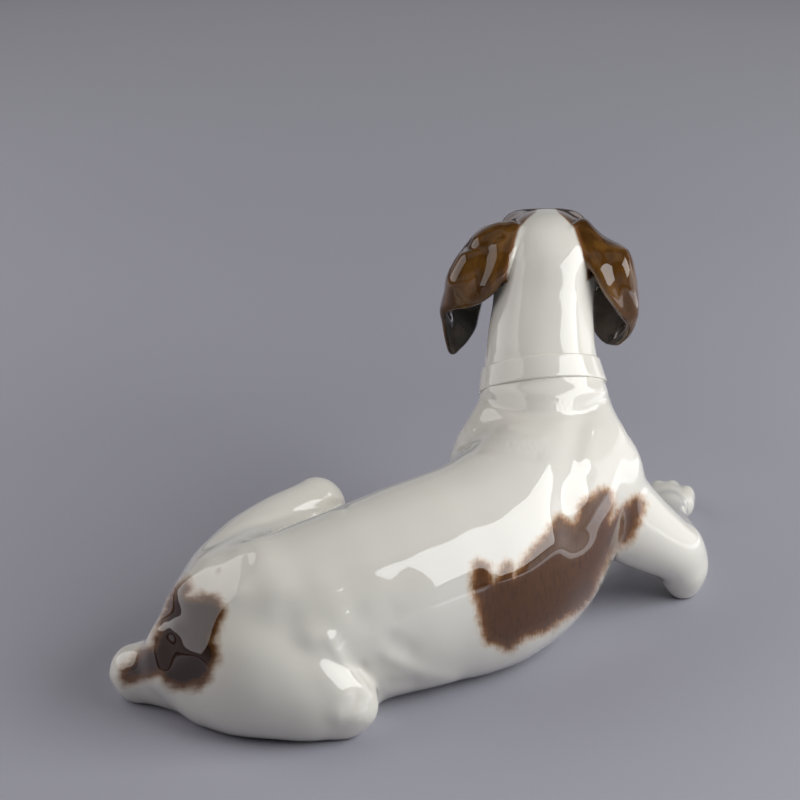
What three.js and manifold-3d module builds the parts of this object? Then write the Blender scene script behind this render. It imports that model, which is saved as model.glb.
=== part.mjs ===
// A lying hound puppy in glazed porcelain, slip-cast in parts that are luted together and fired.
// Millimetres, +Z up. The body is laid out in a sculptor's frame: x to the dog's right, y straight
// ahead of its chest, z up from the ground. One turn at the end lays its long axis along +X.

import * as THREE from 'three';
import { mergeVertices } from 'three/addons/utils/BufferGeometryUtils.js';
import Module from 'manifold-3d';

const wasm = await Module();
wasm.setup();

// Driving dimensions

const WALL = 4.5;               // wall of the hollow castings
const LUTING_GAP = 0.35;        // room for the slip between two luted parts
const FOOT_DEPTH = 2.2;         // what is ground off below the trunk, so that it rests flat
const LIMB_FOOT_DEPTH = 1;      // the same below the legs and the tail
const VENT_RADIUS = 4;          // vent hole in the underside, for the kiln
const BODY_TURN = -45;          // degrees, from the sculptor's frame to the long axis
const MIDLINE = -3;             // x of the chest, neck and head

const TRUNK_LENGTH = 140;       // from the chest's middle to the end of the rump
const TRUNK_SWING = 56;         // degrees that the trunk swings to the dog's left of straight back
const BACK_HEIGHT = 78;         // at the withers
const CHEST_HALF_WIDTH = 31.2;  // behind the shoulders
const HIP_HALF_WIDTH = 29.5;
const CHEST_Y = -14;            // y of the chest's middle and of the shoulder joints

const COLLAR_HEIGHT = 8.2;
const COLLAR_THICKNESS = 1;
const COLLAR_AT = 0.432;        // place of the collar's middle along the neck, from 0 to 1
const NECK_HALF_WIDTH = 19.4;   // at the collar
const NECK_LEAN = 8.7;          // how far the neck leans ahead on each step up
const NECK_STEP = 14;           // height between two stations of the neck

const SKULL_HALF_WIDTH = 18.2;
const SKULL_HALF_LENGTH = 24;
const SKULL_HALF_HEIGHT = 17.2;
const MUZZLE_LENGTH = 35;       // from the stop to the nose
const MUZZLE_DROP = 3.7;        // the nose lies this much below the stop
const MUZZLE_HALF_WIDTH = 11.4;
const STOP_DROP = 4.7;          // the muzzle starts this much below the skull's middle
const JAW_DROP = 10;            // and the jaw this much below the muzzle's

const EAR_THICKNESS = 3.6;

const SHOULDER_SPREAD = 30;     // between the two shoulder joints
const SHOULDER_DROP = 32.5;     // from the withers down to the shoulder joints
const ELBOW_HEIGHT = 12;
// Ahead of the shoulder joints
const ELBOW_AHEAD = 10;
const PAW_AHEAD = 74;
// Out from the midline
const ELBOW_OUT = { right: 49, left: 45 };
const WRIST_OUT = { right: 48.5, left: 35 };
const PAW_OUT = { right: 48.5, left: 31 };
const FOREARM_HALF = 7.6;
const PAW_HALF_WIDTH = 9.8;
const PAW_HEIGHT = 12.4;
const TOE_HALF_WIDTH = 3.7;
const TOE_HALF_LENGTH = 6;
const TOE_COUNT = 4;

// From the hip's middle, on the ground
const KNEE_RIGHT = new THREE.Vector3(35, -15.5, 11);
const KNEE_LEFT = new THREE.Vector3(27, 59.5, 46.5);
const HOCK_LEFT = new THREE.Vector3(8, 52, 8);
const ANKLE_RIGHT = new THREE.Vector3(40, 28, 8);
const KNEE_HALF = 8.8;
const HIND_FOOT_HALF = 7;
const HIND_PAW_HALF_WIDTH = 8;

const TAIL_LENGTH = 28;
const TAIL_HALF = 9.2;

// Fineness of the facets

const TRUNK_SIDES = 24;
const HOLLOW_SIDES = 14;
const LIMB_SIDES = 14;
const RINGS_PER_STEP = 3;
const CAP_RINGS = 2;
const TOE_SEGMENTS = 10;

const UP = new THREE.Vector3(0, 0, 1);

// One station of a loft: a place, a half width, and half heights above and below it

function at(x, y, z, half, above = half, below = half) {
  return { place: new THREE.Vector3(x, y, z), size: new THREE.Vector3(half, above, below) };
}

// A station on the ground: it reaches `depth` below the ground, where it is ground off flat

function lying(x, y, z, half, above, depth) {
  return at(x, y, z, half, above, z + depth);
}

function grown(stations, by) {
  return stations.map(({ place, size }) => ({ place, size: size.clone().addScalar(by) }));
}

// Solids

function solidOf(geometry) {
  const bare = geometry.clone();
  bare.deleteAttribute('normal');
  bare.deleteAttribute('uv');
  const merged = mergeVertices(bare, 1e-4);
  return new wasm.Manifold(new wasm.Mesh({
    numProp: 3,
    vertProperties: new Float32Array(merged.attributes.position.array),
    triVerts: new Uint32Array(merged.index.array),
  }));
}

function largest(solid) {
  return solid.decompose().sort((a, b) => b.volume() - a.volume())[0];
}

function joined(solids) {
  return solids.reduce((sum, solid) => sum.add(solid));
}

function less(solid, cutters) {
  return cutters.reduce((rest, cutter) => rest.subtract(cutter), solid);
}

// A tube through stations: its rings are ellipses whose upper and lower halves differ,
// and each end is closed by a rounded cap

function tube(stations, { sides = LIMB_SIDES, up = UP, cap = 1 } = {}) {
  const places = new THREE.CatmullRomCurve3(stations.map((s) => s.place), false, 'catmullrom', 0.5);
  const sizes = new THREE.CatmullRomCurve3(stations.map((s) => s.size), false, 'catmullrom', 0.5);
  const steps = (stations.length - 1) * RINGS_PER_STEP;
  const rings = [];
  const ringAt = (t, shift, shrink) => {
    const along = places.getTangent(t);
    const side = new THREE.Vector3().crossVectors(up, along).normalize();
    const over = new THREE.Vector3().crossVectors(along, side);
    const size = sizes.getPoint(t);
    const reach = Math.min(size.x, size.y, size.z) * cap;
    const centre = places.getPoint(t).addScaledVector(along, shift * reach);
    rings.push({ centre, side, over, size: size.multiplyScalar(shrink) });
  };
  for (let i = 0; i < CAP_RINGS; i += 1) {
    const angle = (Math.PI / 2) * (1 - (i + 0.5) / CAP_RINGS);
    ringAt(0, -Math.sin(angle), Math.cos(angle));
  }
  for (let i = 0; i <= steps; i += 1) ringAt(i / steps, 0, 1);
  for (let i = CAP_RINGS - 1; i >= 0; i -= 1) {
    const angle = (Math.PI / 2) * (1 - (i + 0.5) / CAP_RINGS);
    ringAt(1, Math.sin(angle), Math.cos(angle));
  }
  return solidOf(skin(rings, sides));
}

function skin(rings, sides) {
  const points = [];
  const faces = [];
  for (const { centre, side, over, size } of rings) {
    for (let k = 0; k < sides; k += 1) {
      const angle = (2 * Math.PI * k) / sides;
      const rise = Math.sin(angle);
      const height = rise > 0 ? size.y : size.z;
      const point = centre.clone();
      point.addScaledVector(side, Math.cos(angle) * size.x);
      point.addScaledVector(over, rise * height);
      points.push(...point);
    }
  }
  for (let j = 0; j + 1 < rings.length; j += 1) {
    for (let k = 0; k < sides; k += 1) {
      const a = j * sides + k;
      const b = j * sides + ((k + 1) % sides);
      faces.push(a, b, b + sides, a, b + sides, a + sides);
    }
  }
  const first = points.length / 3;
  points.push(...rings[0].centre, ...rings[rings.length - 1].centre);
  const last = (rings.length - 1) * sides;
  for (let k = 0; k < sides; k += 1) {
    const next = (k + 1) % sides;
    faces.push(first, next, k);
    faces.push(first + 1, last + k, last + next);
  }
  return indexed(points, faces);
}

function indexed(points, faces) {
  const geometry = new THREE.BufferGeometry();
  geometry.setAttribute('position', new THREE.Float32BufferAttribute(points, 3));
  geometry.setIndex(faces);
  return geometry;
}

// A thick flap through rows of points: it thins out towards its rim

function flap(rows, thickness, rowSteps = 16, columnSteps = 9) {
  const across = rows.map((row) => new THREE.CatmullRomCurve3(row, false, 'catmullrom', 0.5));
  const middle = [];
  for (let j = 0; j <= columnSteps; j += 1) {
    const down = across.map((curve) => curve.getPoint(j / columnSteps));
    const line = new THREE.CatmullRomCurve3(down, false, 'catmullrom', 0.5);
    for (let i = 0; i <= rowSteps; i += 1) middle.push(line.getPoint(i / rowSteps));
  }
  const pitch = rowSteps + 1;
  const points = [];
  const place = (i, j) => middle[j * pitch + i];
  const sheet = (way) => {
    for (let j = 0; j <= columnSteps; j += 1) {
      for (let i = 0; i <= rowSteps; i += 1) {
        const alongRow = place(Math.min(i + 1, rowSteps), j).clone().sub(place(Math.max(i - 1, 0), j));
        const alongColumn = place(i, Math.min(j + 1, columnSteps)).clone().sub(place(i, Math.max(j - 1, 0)));
        const normal = alongRow.cross(alongColumn).normalize();
        const rim = (i === 0 || i === rowSteps || j === 0 || j === columnSteps) ? 0.5 : 1;
        points.push(...place(i, j).clone().addScaledVector(normal, way * rim * thickness / 2));
      }
    }
  };
  sheet(1);
  sheet(-1);
  const faces = [];
  const back = points.length / 6;
  const quad = (a, b, c, d) => faces.push(a, b, c, a, c, d);
  for (let j = 0; j < columnSteps; j += 1) {
    for (let i = 0; i < rowSteps; i += 1) {
      const a = j * pitch + i;
      quad(a, a + 1, a + 1 + pitch, a + pitch);
      quad(back + a, back + a + pitch, back + a + 1 + pitch, back + a + 1);
    }
  }
  for (let i = 0; i < rowSteps; i += 1) {
    const end = columnSteps * pitch;
    quad(i, back + i, back + i + 1, i + 1);
    quad(end + i, end + i + 1, back + end + i + 1, back + end + i);
  }
  for (let j = 0; j < columnSteps; j += 1) {
    const start = j * pitch;
    const end = start + rowSteps;
    quad(start, start + pitch, back + start + pitch, back + start);
    quad(end, back + end, back + end + pitch, end + pitch);
  }
  return solidOf(indexed(points, faces));
}

function ball(centre, halfX, halfZ, halfY, segments) {
  const geometry = new THREE.SphereGeometry(1, segments, segments / 2);
  geometry.scale(halfX, halfZ, halfY);
  geometry.rotateX(Math.PI / 2);
  geometry.translate(...centre);
  return solidOf(geometry);
}

// A block that fills everything on the far side of a plane

const FAR = 600;

function beyond(point, direction) {
  const geometry = new THREE.BoxGeometry(FAR, FAR, FAR);
  geometry.translate(0, 0, FAR / 2);
  const turn = new THREE.Quaternion().setFromUnitVectors(UP, direction);
  geometry.applyQuaternion(turn);
  geometry.translate(...point);
  return solidOf(geometry);
}

const GROUND = beyond(new THREE.Vector3(0, 0, 0), UP.clone().negate());

// Trunk and neck

const CHEST = new THREE.Vector3(MIDLINE, CHEST_Y, 0);
const SWING = THREE.MathUtils.degToRad(TRUNK_SWING);
const BACKWARDS = new THREE.Vector3(0, -1, 0).applyAxisAngle(UP, -SWING);
const OUTWARDS = new THREE.Vector3(1, 0, 0).applyAxisAngle(UP, -SWING);

// A place on the spine: `share` of the way from the chest to the rump, and `bow` to the right of it

function spine(share, bow, level) {
  const place = CHEST.clone().addScaledVector(BACKWARDS, TRUNK_LENGTH * share);
  return place.addScaledVector(OUTWARDS, bow).setZ(level);
}

// Stations of the trunk, whose back is `drop` lower than the withers: the first kind lies on the
// ground

function lyingTrunk(share, bow, drop, half, above) {
  return lying(...spine(share, bow, BACK_HEIGHT - drop - above), half, above, FOOT_DEPTH);
}

function raisedTrunk(share, bow, drop, half, above, below) {
  return at(...spine(share, bow, BACK_HEIGHT - drop - above), half, above, below);
}

const TRUNK = [
  lyingTrunk(1, 0, 42, HIP_HALF_WIDTH - 13.5, 16),
  lyingTrunk(0.926, 4.5, 27, HIP_HALF_WIDTH - 5, 26),
  lyingTrunk(0.8, 11, 20.6, HIP_HALF_WIDTH, 28.4),
  lyingTrunk(0.642, 15.5, 14.8, CHEST_HALF_WIDTH - 1.2, 31.2),
  lyingTrunk(0.46, 18.8, 10, CHEST_HALF_WIDTH - 0.6, 33.5),
  lyingTrunk(0.274, 19.5, 6.5, CHEST_HALF_WIDTH, 34.5),
  raisedTrunk(0.115, 13.2, 1, CHEST_HALF_WIDTH - 1.8, 36, 38.5),
  raisedTrunk(0, 0, 0, CHEST_HALF_WIDTH - 3.2, 33, 34),
  raisedTrunk(-0.07, -12.6, 7, CHEST_HALF_WIDTH - 9.2, 26, 29),
];

// The trunk's hollow keeps the wall all round, also above the ground-off foot
const TRUNK_HOLLOW = TRUNK.map(({ place, size }) => ({
  place,
  size: new THREE.Vector3(size.x - WALL, size.y - WALL, Math.min(size.z, place.z) - WALL),
}));

const NECK_BASE = new THREE.Vector3(MIDLINE, CHEST_Y - 4, BACK_HEIGHT - 20);
const NECK_UP = new THREE.Vector3(0, -1, 0.5);

function neckStation(step, shift, half, above, below) {
  const place = new THREE.Vector3(shift, NECK_LEAN * step, NECK_STEP * step).add(NECK_BASE);
  return at(...place, half, above, below);
}

const NECK = [
  neckStation(0, -0.2, NECK_HALF_WIDTH + 7.1, 22, 24),
  neckStation(1, -0.3, NECK_HALF_WIDTH + 3.4, 20, 22),
  neckStation(2, -1.7, NECK_HALF_WIDTH, 18.5, 19.5),
  neckStation(3, -1, NECK_HALF_WIDTH - 1.9, 17, 17.5),
  neckStation(4, 0, NECK_HALF_WIDTH - 3.4, 15.5, 16),
];

const neckCurve = new THREE.CatmullRomCurve3(NECK.map((s) => s.place), false, 'catmullrom', 0.5);
const SEAM = neckCurve.getPoint(COLLAR_AT);
const NECK_AXIS = neckCurve.getTangent(COLLAR_AT);

function neckTube(growth, sides = TRUNK_SIDES) {
  return tube(grown(NECK, growth), { up: NECK_UP, sides });
}

// A shoulder blade on each side of the withers: the left one is drawn up a little

function bladeStation(out, ahead, drop, half, depth) {
  return at(CHEST.x + out, CHEST.y + ahead, BACK_HEIGHT - drop, half, depth);
}

const BLADES = {
  right: [
    bladeStation(15.2, -4, 16, 11.4, 9),
    bladeStation(18.8, -1, 26, 13.8, 14),
    bladeStation(16, 0, 38, 14, 16),
  ],
  left: [
    bladeStation(-15.8, -3, 12.5, 10.8, 9.5),
    bladeStation(-19, -1, 23, 13, 14),
    bladeStation(-16.5, 0, 38, 14, 16),
  ],
};

function shoulderBlade(side, growth) {
  return tube(grown(BLADES[side], growth), { up: new THREE.Vector3(0, 1, 0) });
}

// A breast muscle on each side of the chest

function breast(way, growth) {
  const centre = new THREE.Vector3(CHEST.x + way * 10, CHEST.y + 24, BACK_HEIGHT - 36);
  return ball(centre, 12 + growth, 17 + growth, 15 + growth, LIMB_SIDES);
}

function trunkParts(growth) {
  return [
    tube(grown(TRUNK, growth), { sides: TRUNK_SIDES }),
    shoulderBlade('left', growth),
    shoulderBlade('right', growth),
    breast(-1, growth),
    breast(1, growth),
  ];
}

const trunkSolid = joined(trunkParts(0));
const neckSolid = neckTube(0);
const neckHollow = neckTube(-WALL, HOLLOW_SIDES);
const trunkHollow = tube(TRUNK_HOLLOW, { sides: HOLLOW_SIDES });

// Half of the luting gap lies on either side of the seam
const aboveSeam = beyond(SEAM.clone().addScaledVector(NECK_AXIS, -LUTING_GAP / 2), NECK_AXIS);
const belowSeam = beyond(
  SEAM.clone().addScaledVector(NECK_AXIS, LUTING_GAP / 2),
  NECK_AXIS.clone().negate(),
);

function ventHole() {
  const floor = TRUNK[4].place;
  const geometry = new THREE.CylinderGeometry(VENT_RADIUS, VENT_RADIUS, 4 * WALL, 24);
  geometry.rotateX(Math.PI / 2);
  geometry.translate(floor.x, floor.y, 0);
  return solidOf(geometry);
}

const torsoOuter = trunkSolid.add(neckSolid.subtract(aboveSeam));
const torso = largest(less(torsoOuter, [trunkHollow, neckHollow, ventHole(), GROUND]));

// Head

const SKULL_CENTRE = NECK[4].place.clone().add(new THREE.Vector3(0.7, 8.2, 0.2));

// A place on the head, from the skull's centre: to the right, ahead and up

function onHead(right, ahead, up) {
  return new THREE.Vector3(right, ahead, up).add(SKULL_CENTRE);
}

const STOP_AHEAD = SKULL_HALF_LENGTH / 4;

function muzzleStation(share, half, above, below) {
  const place = onHead(0, STOP_AHEAD + MUZZLE_LENGTH * share, -STOP_DROP - MUZZLE_DROP * share);
  return at(...place, half, above, below);
}

const MUZZLE = [
  muzzleStation(0, MUZZLE_HALF_WIDTH + 2.6, 10, 12),
  muzzleStation(0.37, MUZZLE_HALF_WIDTH, 9.2, 11.5),
  muzzleStation(0.74, MUZZLE_HALF_WIDTH - 1, 8.4, 11),
  muzzleStation(1, MUZZLE_HALF_WIDTH - 2, 7.4, 10),
];

function jawStation(share, half, depth) {
  const drop = STOP_DROP + JAW_DROP + (MUZZLE_DROP + 1.4) * share;
  return at(...onHead(0, STOP_AHEAD - 4 + MUZZLE_LENGTH * share, -drop), half, depth);
}

const JAW = [
  jawStation(0, MUZZLE_HALF_WIDTH - 2.4, 5.4),
  jawStation(0.5, MUZZLE_HALF_WIDTH - 3.8, 5),
  jawStation(0.97, MUZZLE_HALF_WIDTH - 5.6, 4),
];

// The upper lip hangs on each side of the muzzle

function flewStation(way, out, share, drop, half) {
  const place = onHead(way * out, STOP_AHEAD + MUZZLE_LENGTH * share, -STOP_DROP - drop);
  return at(...place, half, 6, half + 0.6);
}

function flew(way) {
  return tube([
    flewStation(way, 7.2, 0.23, 8, 5),
    flewStation(way, 6.4, 0.57, 9.3, 5.4),
    flewStation(way, 5.2, 0.91, 8.7, 5),
  ]);
}

function skull(growth, segments = TRUNK_SIDES) {
  return ball(
    SKULL_CENTRE,
    SKULL_HALF_WIDTH + growth,
    SKULL_HALF_HEIGHT + growth,
    SKULL_HALF_LENGTH + growth,
    segments,
  );
}

function cheek(way, growth) {
  return ball(onHead(way * 10, 6, -7.2), 8.5 + growth, 10 + growth, 12 + growth, LIMB_SIDES);
}

// What the ears are cut back to, beside the neck

function headParts(growth) {
  return [
    skull(growth),
    tube(grown(MUZZLE, growth), { cap: 0.62 }),
    cheek(-1, growth),
    cheek(1, growth),
  ];
}

const nose = ball(onHead(0, STOP_AHEAD + MUZZLE_LENGTH + 4.2, -4.1), 5.6, 4.4, 4.4, LIMB_SIDES);
const headOuter = joined([
  ...headParts(0),
  tube(JAW, { cap: 0.8 }),
  flew(-1),
  flew(1),
  nose,
  neckSolid.subtract(belowSeam),
]);
const head = largest(less(headOuter, [skull(-WALL, HOLLOW_SIDES), neckHollow]));

// Collar: a band round the neck that covers the seam

const collarTop = beyond(SEAM.clone().addScaledVector(NECK_AXIS, COLLAR_HEIGHT / 2), NECK_AXIS);
const collarBottom = beyond(
  SEAM.clone().addScaledVector(NECK_AXIS, -COLLAR_HEIGHT / 2),
  NECK_AXIS.clone().negate(),
);
const collarOuter = neckTube(LUTING_GAP + COLLAR_THICKNESS);
const collarBore = neckTube(LUTING_GAP);
const collar = largest(less(collarOuter, [collarBore, collarTop, collarBottom]));

// What limbs, ears and tail are cut back to, so that the slip fits between

const torsoSeat = joined([...trunkParts(LUTING_GAP), neckTube(LUTING_GAP)]);
const headSeat = joined([...headParts(LUTING_GAP), neckTube(LUTING_GAP)]);

// Paws

function paw(x, y, halfWidth, heading = 0) {
  const spot = (across, ahead, height) => new THREE.Vector3(
    x + across * Math.cos(heading) - ahead * Math.sin(heading),
    y + across * Math.sin(heading) + ahead * Math.cos(heading),
    height,
  );
  const sole = tube([
    at(...spot(0, -5, PAW_HEIGHT / 2), halfWidth * 0.86, PAW_HEIGHT / 2),
    at(...spot(0, 2, PAW_HEIGHT / 2), halfWidth * 0.9, PAW_HEIGHT / 2),
  ]);
  const toes = [];
  for (let i = 0; i < TOE_COUNT; i += 1) {
    const share = (i + 0.5) / TOE_COUNT - 0.5;
    const centre = spot(2.1 * halfWidth * share, 5 - 38 * share * share, PAW_HEIGHT / 2 - 0.3);
    toes.push(ball(centre, TOE_HALF_WIDTH, PAW_HEIGHT / 2 - 0.3, TOE_HALF_LENGTH, TOE_SEGMENTS));
  }
  return joined([sole, ...toes]);
}

// Forelegs: an upper arm that slants out to the elbow, and a forearm that lies on the ground

function foreleg(side) {
  const way = side === 'right' ? 1 : -1;
  const rootX = CHEST.x + way * SHOULDER_SPREAD / 2;
  const elbowX = CHEST.x + way * ELBOW_OUT[side];
  const wristX = CHEST.x + way * WRIST_OUT[side];
  const pawX = CHEST.x + way * PAW_OUT[side];
  const pawY = CHEST.y + PAW_AHEAD;
  const rootZ = BACK_HEIGHT - SHOULDER_DROP;
  const onArm = (share, ahead, up) => [
    rootX + (elbowX - rootX) * share,
    CHEST.y + ahead,
    rootZ + (ELBOW_HEIGHT - rootZ) * share + up,
  ];
  const upper = tube([
    at(...onArm(0, 0, 0), 16, 18),
    at(...onArm(0.46, ELBOW_AHEAD * 0.2, 0.3), 14, 16, 14),
    at(...onArm(0.85, ELBOW_AHEAD * 0.6, 2.4), 10.6, 11.5, 11),
    at(...onArm(0.98, ELBOW_AHEAD * 0.95, 0), FOREARM_HALF, 10, 9.5),
  ], { up: new THREE.Vector3(0, 1, 0) });
  const forearmX = (share) => elbowX + way * 0.4 + (wristX - elbowX) * share;
  const forearmY = (share) => CHEST.y + ELBOW_AHEAD + (PAW_AHEAD - ELBOW_AHEAD) * share;
  const lower = tube([
    lying(forearmX(0), forearmY(0), ELBOW_HEIGHT, FOREARM_HALF, 14, LIMB_FOOT_DEPTH),
    lying(forearmX(0.25), forearmY(0.2), ELBOW_HEIGHT - 0.2, FOREARM_HALF, 11.6, LIMB_FOOT_DEPTH),
    lying(forearmX(0.55), forearmY(0.5), ELBOW_HEIGHT - 2, FOREARM_HALF - 1.2, 8.4, LIMB_FOOT_DEPTH),
    lying(wristX, forearmY(0.75), ELBOW_HEIGHT - 3.6, FOREARM_HALF - 1.6, 6.8, LIMB_FOOT_DEPTH),
    lying((wristX + pawX) / 2, forearmY(0.89), 7.8, FOREARM_HALF - 0.8, 6.2, LIMB_FOOT_DEPTH),
    lying(pawX, pawY, 6.4, FOREARM_HALF - 0.2, 5.4, LIMB_FOOT_DEPTH),
  ]);
  const toes = paw(pawX, pawY + 6, PAW_HALF_WIDTH);
  return largest(less(joined([upper, lower, toes]), [torsoSeat, GROUND]));
}

// Hind legs: the right thigh lies on the ground, and the left one is raised over it

const HIP = TRUNK[1].place;

function fromHip(x, y, z) {
  return [HIP.x + x, HIP.y + y, z];
}

function rightHindParts(growth) {
  const thigh = tube(grown([
    lying(...fromHip(-4, -8, 21), 16, 20, LIMB_FOOT_DEPTH),
    lying(...fromHip(9, -15, 20), 17, 22, LIMB_FOOT_DEPTH),
    lying(...fromHip(24, -18, 15.5), 14, 16.5, LIMB_FOOT_DEPTH),
    lying(...fromHip(...KNEE_RIGHT), KNEE_HALF + 3.2, 12.8, LIMB_FOOT_DEPTH),
  ], growth));
  const shank = tube(grown([
    lying(...fromHip(KNEE_RIGHT.x - 2, KNEE_RIGHT.y + 2.5, 9), KNEE_HALF - 0.8, 8, LIMB_FOOT_DEPTH),
    lying(...fromHip(KNEE_RIGHT.x + 3, KNEE_RIGHT.y + 13.5, 8), KNEE_HALF - 0.8, 8, LIMB_FOOT_DEPTH),
    lying(...fromHip(KNEE_RIGHT.x + 8, KNEE_RIGHT.y + 23.5, 7), KNEE_HALF - 0.8, 7, LIMB_FOOT_DEPTH),
  ], growth));
  return [thigh, shank];
}

function leftHindParts(growth) {
  const thigh = tube(grown([
    at(...fromHip(-2, 4, 30), 19.4, 21.4, 22),
    at(...fromHip(2, 22, 37), 16.2, 15.6, 18),
    at(...fromHip(13, 42, 42), 13.5, 12.8, 14),
    at(...fromHip(...KNEE_LEFT), KNEE_HALF, KNEE_HALF + 0.6, KNEE_HALF - 0.4),
  ], growth));
  const shank = tube(grown([
    at(...fromHip(KNEE_LEFT.x, KNEE_LEFT.y + 1.5, KNEE_LEFT.z - 2.5), KNEE_HALF - 0.2),
    at(...fromHip(20, 62, 26), KNEE_HALF - 0.8, KNEE_HALF - 0.3, KNEE_HALF - 0.8),
    at(...fromHip(HOCK_LEFT.x + 1, HOCK_LEFT.y + 1, HOCK_LEFT.z + 2), HIND_FOOT_HALF),
  ], growth), { up: new THREE.Vector3(0, 1, 0) });
  const foot = tube(grown([
    lying(...fromHip(...HOCK_LEFT), HIND_FOOT_HALF - 0.4, 6.6, LIMB_FOOT_DEPTH),
    lying(...fromHip(HOCK_LEFT.x + 11, HOCK_LEFT.y + 13, 6.8), HIND_FOOT_HALF - 0.4, 5.8, LIMB_FOOT_DEPTH),
    lying(...fromHip(HOCK_LEFT.x + 21, HOCK_LEFT.y + 24, 6.5), HIND_FOOT_HALF + 0.6, 5.8, LIMB_FOOT_DEPTH),
  ], growth));
  return [thigh, shank, foot];
}

const [leftPawX, leftPawY] = fromHip(HOCK_LEFT.x + 24.5, HOCK_LEFT.y + 28, 0);
const leftToes = paw(leftPawX, leftPawY, HIND_PAW_HALF_WIDTH, -Math.PI / 4);
const leftHindLeg = largest(less(joined([...leftHindParts(0), leftToes]), [torsoSeat, GROUND]));
const leftThighSeat = joined(leftHindParts(LUTING_GAP));
const rightHindLeg = largest(less(joined(rightHindParts(0)), [torsoSeat, leftThighSeat, GROUND]));

// The right hind foot comes out from under the far side of the trunk

const [ankleX, ankleY, ankleZ] = fromHip(...ANKLE_RIGHT);
const rightHindFoot = largest(less(joined([
  tube([
    lying(ankleX, ankleY, ankleZ, HIND_FOOT_HALF + 0.5, 7.5, LIMB_FOOT_DEPTH),
    lying(ankleX + 7, ankleY + 16, ankleZ, HIND_FOOT_HALF + 0.2, 6.6, LIMB_FOOT_DEPTH),
    lying(ankleX + 11, ankleY + 28, ankleZ - 1, HIND_FOOT_HALF + 0.6, 6, LIMB_FOOT_DEPTH),
  ]),
  paw(ankleX + 12.5, ankleY + 33, HIND_PAW_HALF_WIDTH, -Math.PI / 9),
]), [torsoSeat, GROUND]));

// Tail: a docked stub that lies on the ground

const tail = largest(less(tube([
  lying(...fromHip(-4, -1, 22), TAIL_HALF + 3.8, 13, LIMB_FOOT_DEPTH),
  lying(...fromHip(-4 - TAIL_LENGTH / 2, 3.5, 15.4), TAIL_HALF + 2.4, 9.8, LIMB_FOOT_DEPTH),
  lying(...fromHip(-4 - TAIL_LENGTH, 8.5, 9.8), TAIL_HALF, 8.8, LIMB_FOOT_DEPTH),
]), [torsoSeat, GROUND, ...rightHindParts(LUTING_GAP), leftThighSeat]));

// Ears: rows run from the root down to the tip, and each row from the rear edge to the front edge

function row(...places) {
  return places.map((place) => onHead(...place));
}

const LEFT_EAR = [
  row([-8.7, -11, 12.8], [-11.7, -6, 13.8], [-12.7, 0, 12.3], [-10.7, 6, 8.8]),
  row([-13.2, -17, 8.8], [-19.7, -12, 11.3], [-21.2, -3, 10.8], [-16.7, 4, 5.8]),
  row([-15.7, -20, 2.8], [-26.7, -16, 6.3], [-27.7, -6, 4.3], [-21.2, 3, -0.2]),
  row([-19.7, -21, -3.2], [-31.2, -18, -0.7], [-31.7, -8, -2.7], [-22.7, 2, -7.2]),
  row([-25.7, -20, -8.2], [-32.2, -17, -6.7], [-32.7, -9, -8.7], [-23.2, 0, -13.2]),
  row([-34.5, -15, -12.2], [-35, -13, -13.2], [-34.2, -9, -14.7], [-24.2, -3, -18.2]),
  row([-34.7, -11, -18.7], [-34.2, -10, -19.2], [-32.2, -8, -20.7], [-25.2, -5.5, -22.7]),
  row([-33.7, -9.5, -25.7], [-33.3, -9, -26.2], [-31.7, -8, -27.2], [-28.3, -7, -27.7]),
  row([-32.6, -9, -30.2], [-32.5, -9, -30.4], [-32.1, -8.7, -30.6], [-31.5, -8.5, -30.6]),
];
const RIGHT_EAR = [
  row([7.3, -11, 12.8], [11.3, -6, 14.4], [12.3, 0, 13.1], [9.3, 6, 8.8]),
  row([12.8, -16, 7.3], [17.3, -11, 8.8], [17.8, -3, 8.3], [15.3, 4, 4.8]),
  row([16.8, -20, 3.3], [24.1, -16, 5.6], [25.3, -6, 4.8], [19.3, 3, 0.8]),
  row([19.3, -21.5, -1.7], [26.9, -17.5, -0.7], [27.7, -6, -1.7], [19.3, 2.5, -5.7]),
  row([22.8, -21.5, -7.2], [28.3, -17.5, -6.7], [28.7, -7, -8.2], [18.8, 1.5, -12.2]),
  row([25.8, -19.5, -12.7], [29.3, -15.5, -13.2], [28.7, -7, -14.7], [18.3, 0.5, -18.7]),
  row([28.3, -14.5, -18.2], [29.1, -12, -19.2], [27.3, -6, -21.2], [18.3, -1, -24.2]),
  row([27.3, -10, -24.2], [26.7, -8, -24.7], [24.3, -5, -26.2], [19.8, -2.5, -27.2]),
  row([25.1, -7, -27.6], [24.7, -6.5, -28], [23.5, -5, -28.4], [21.7, -3.6, -28.6]),
];

const leftEar = largest(flap(LEFT_EAR, EAR_THICKNESS).subtract(headSeat));
const rightEar = largest(flap(RIGHT_EAR, EAR_THICKNESS).subtract(headSeat));

// The scene graph

const WHITE_GLAZE = new THREE.MeshStandardMaterial({ color: 0xe9e6de, roughness: 0.15, metalness: 0 });
const BROWN_GLAZE = new THREE.MeshStandardMaterial({ color: 0x4a2c14, roughness: 0.15, metalness: 0 });

function meshOf(name, solid, material) {
  const { numProp, vertProperties, triVerts } = solid.getMesh();
  const points = [];
  for (let i = 0; i < vertProperties.length; i += numProp) points.push(...vertProperties.slice(i, i + 3));
  const geometry = indexed(points, Array.from(triVerts));
  geometry.computeVertexNormals();
  const mesh = new THREE.Mesh(geometry, material);
  mesh.name = name;
  return mesh;
}

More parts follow.
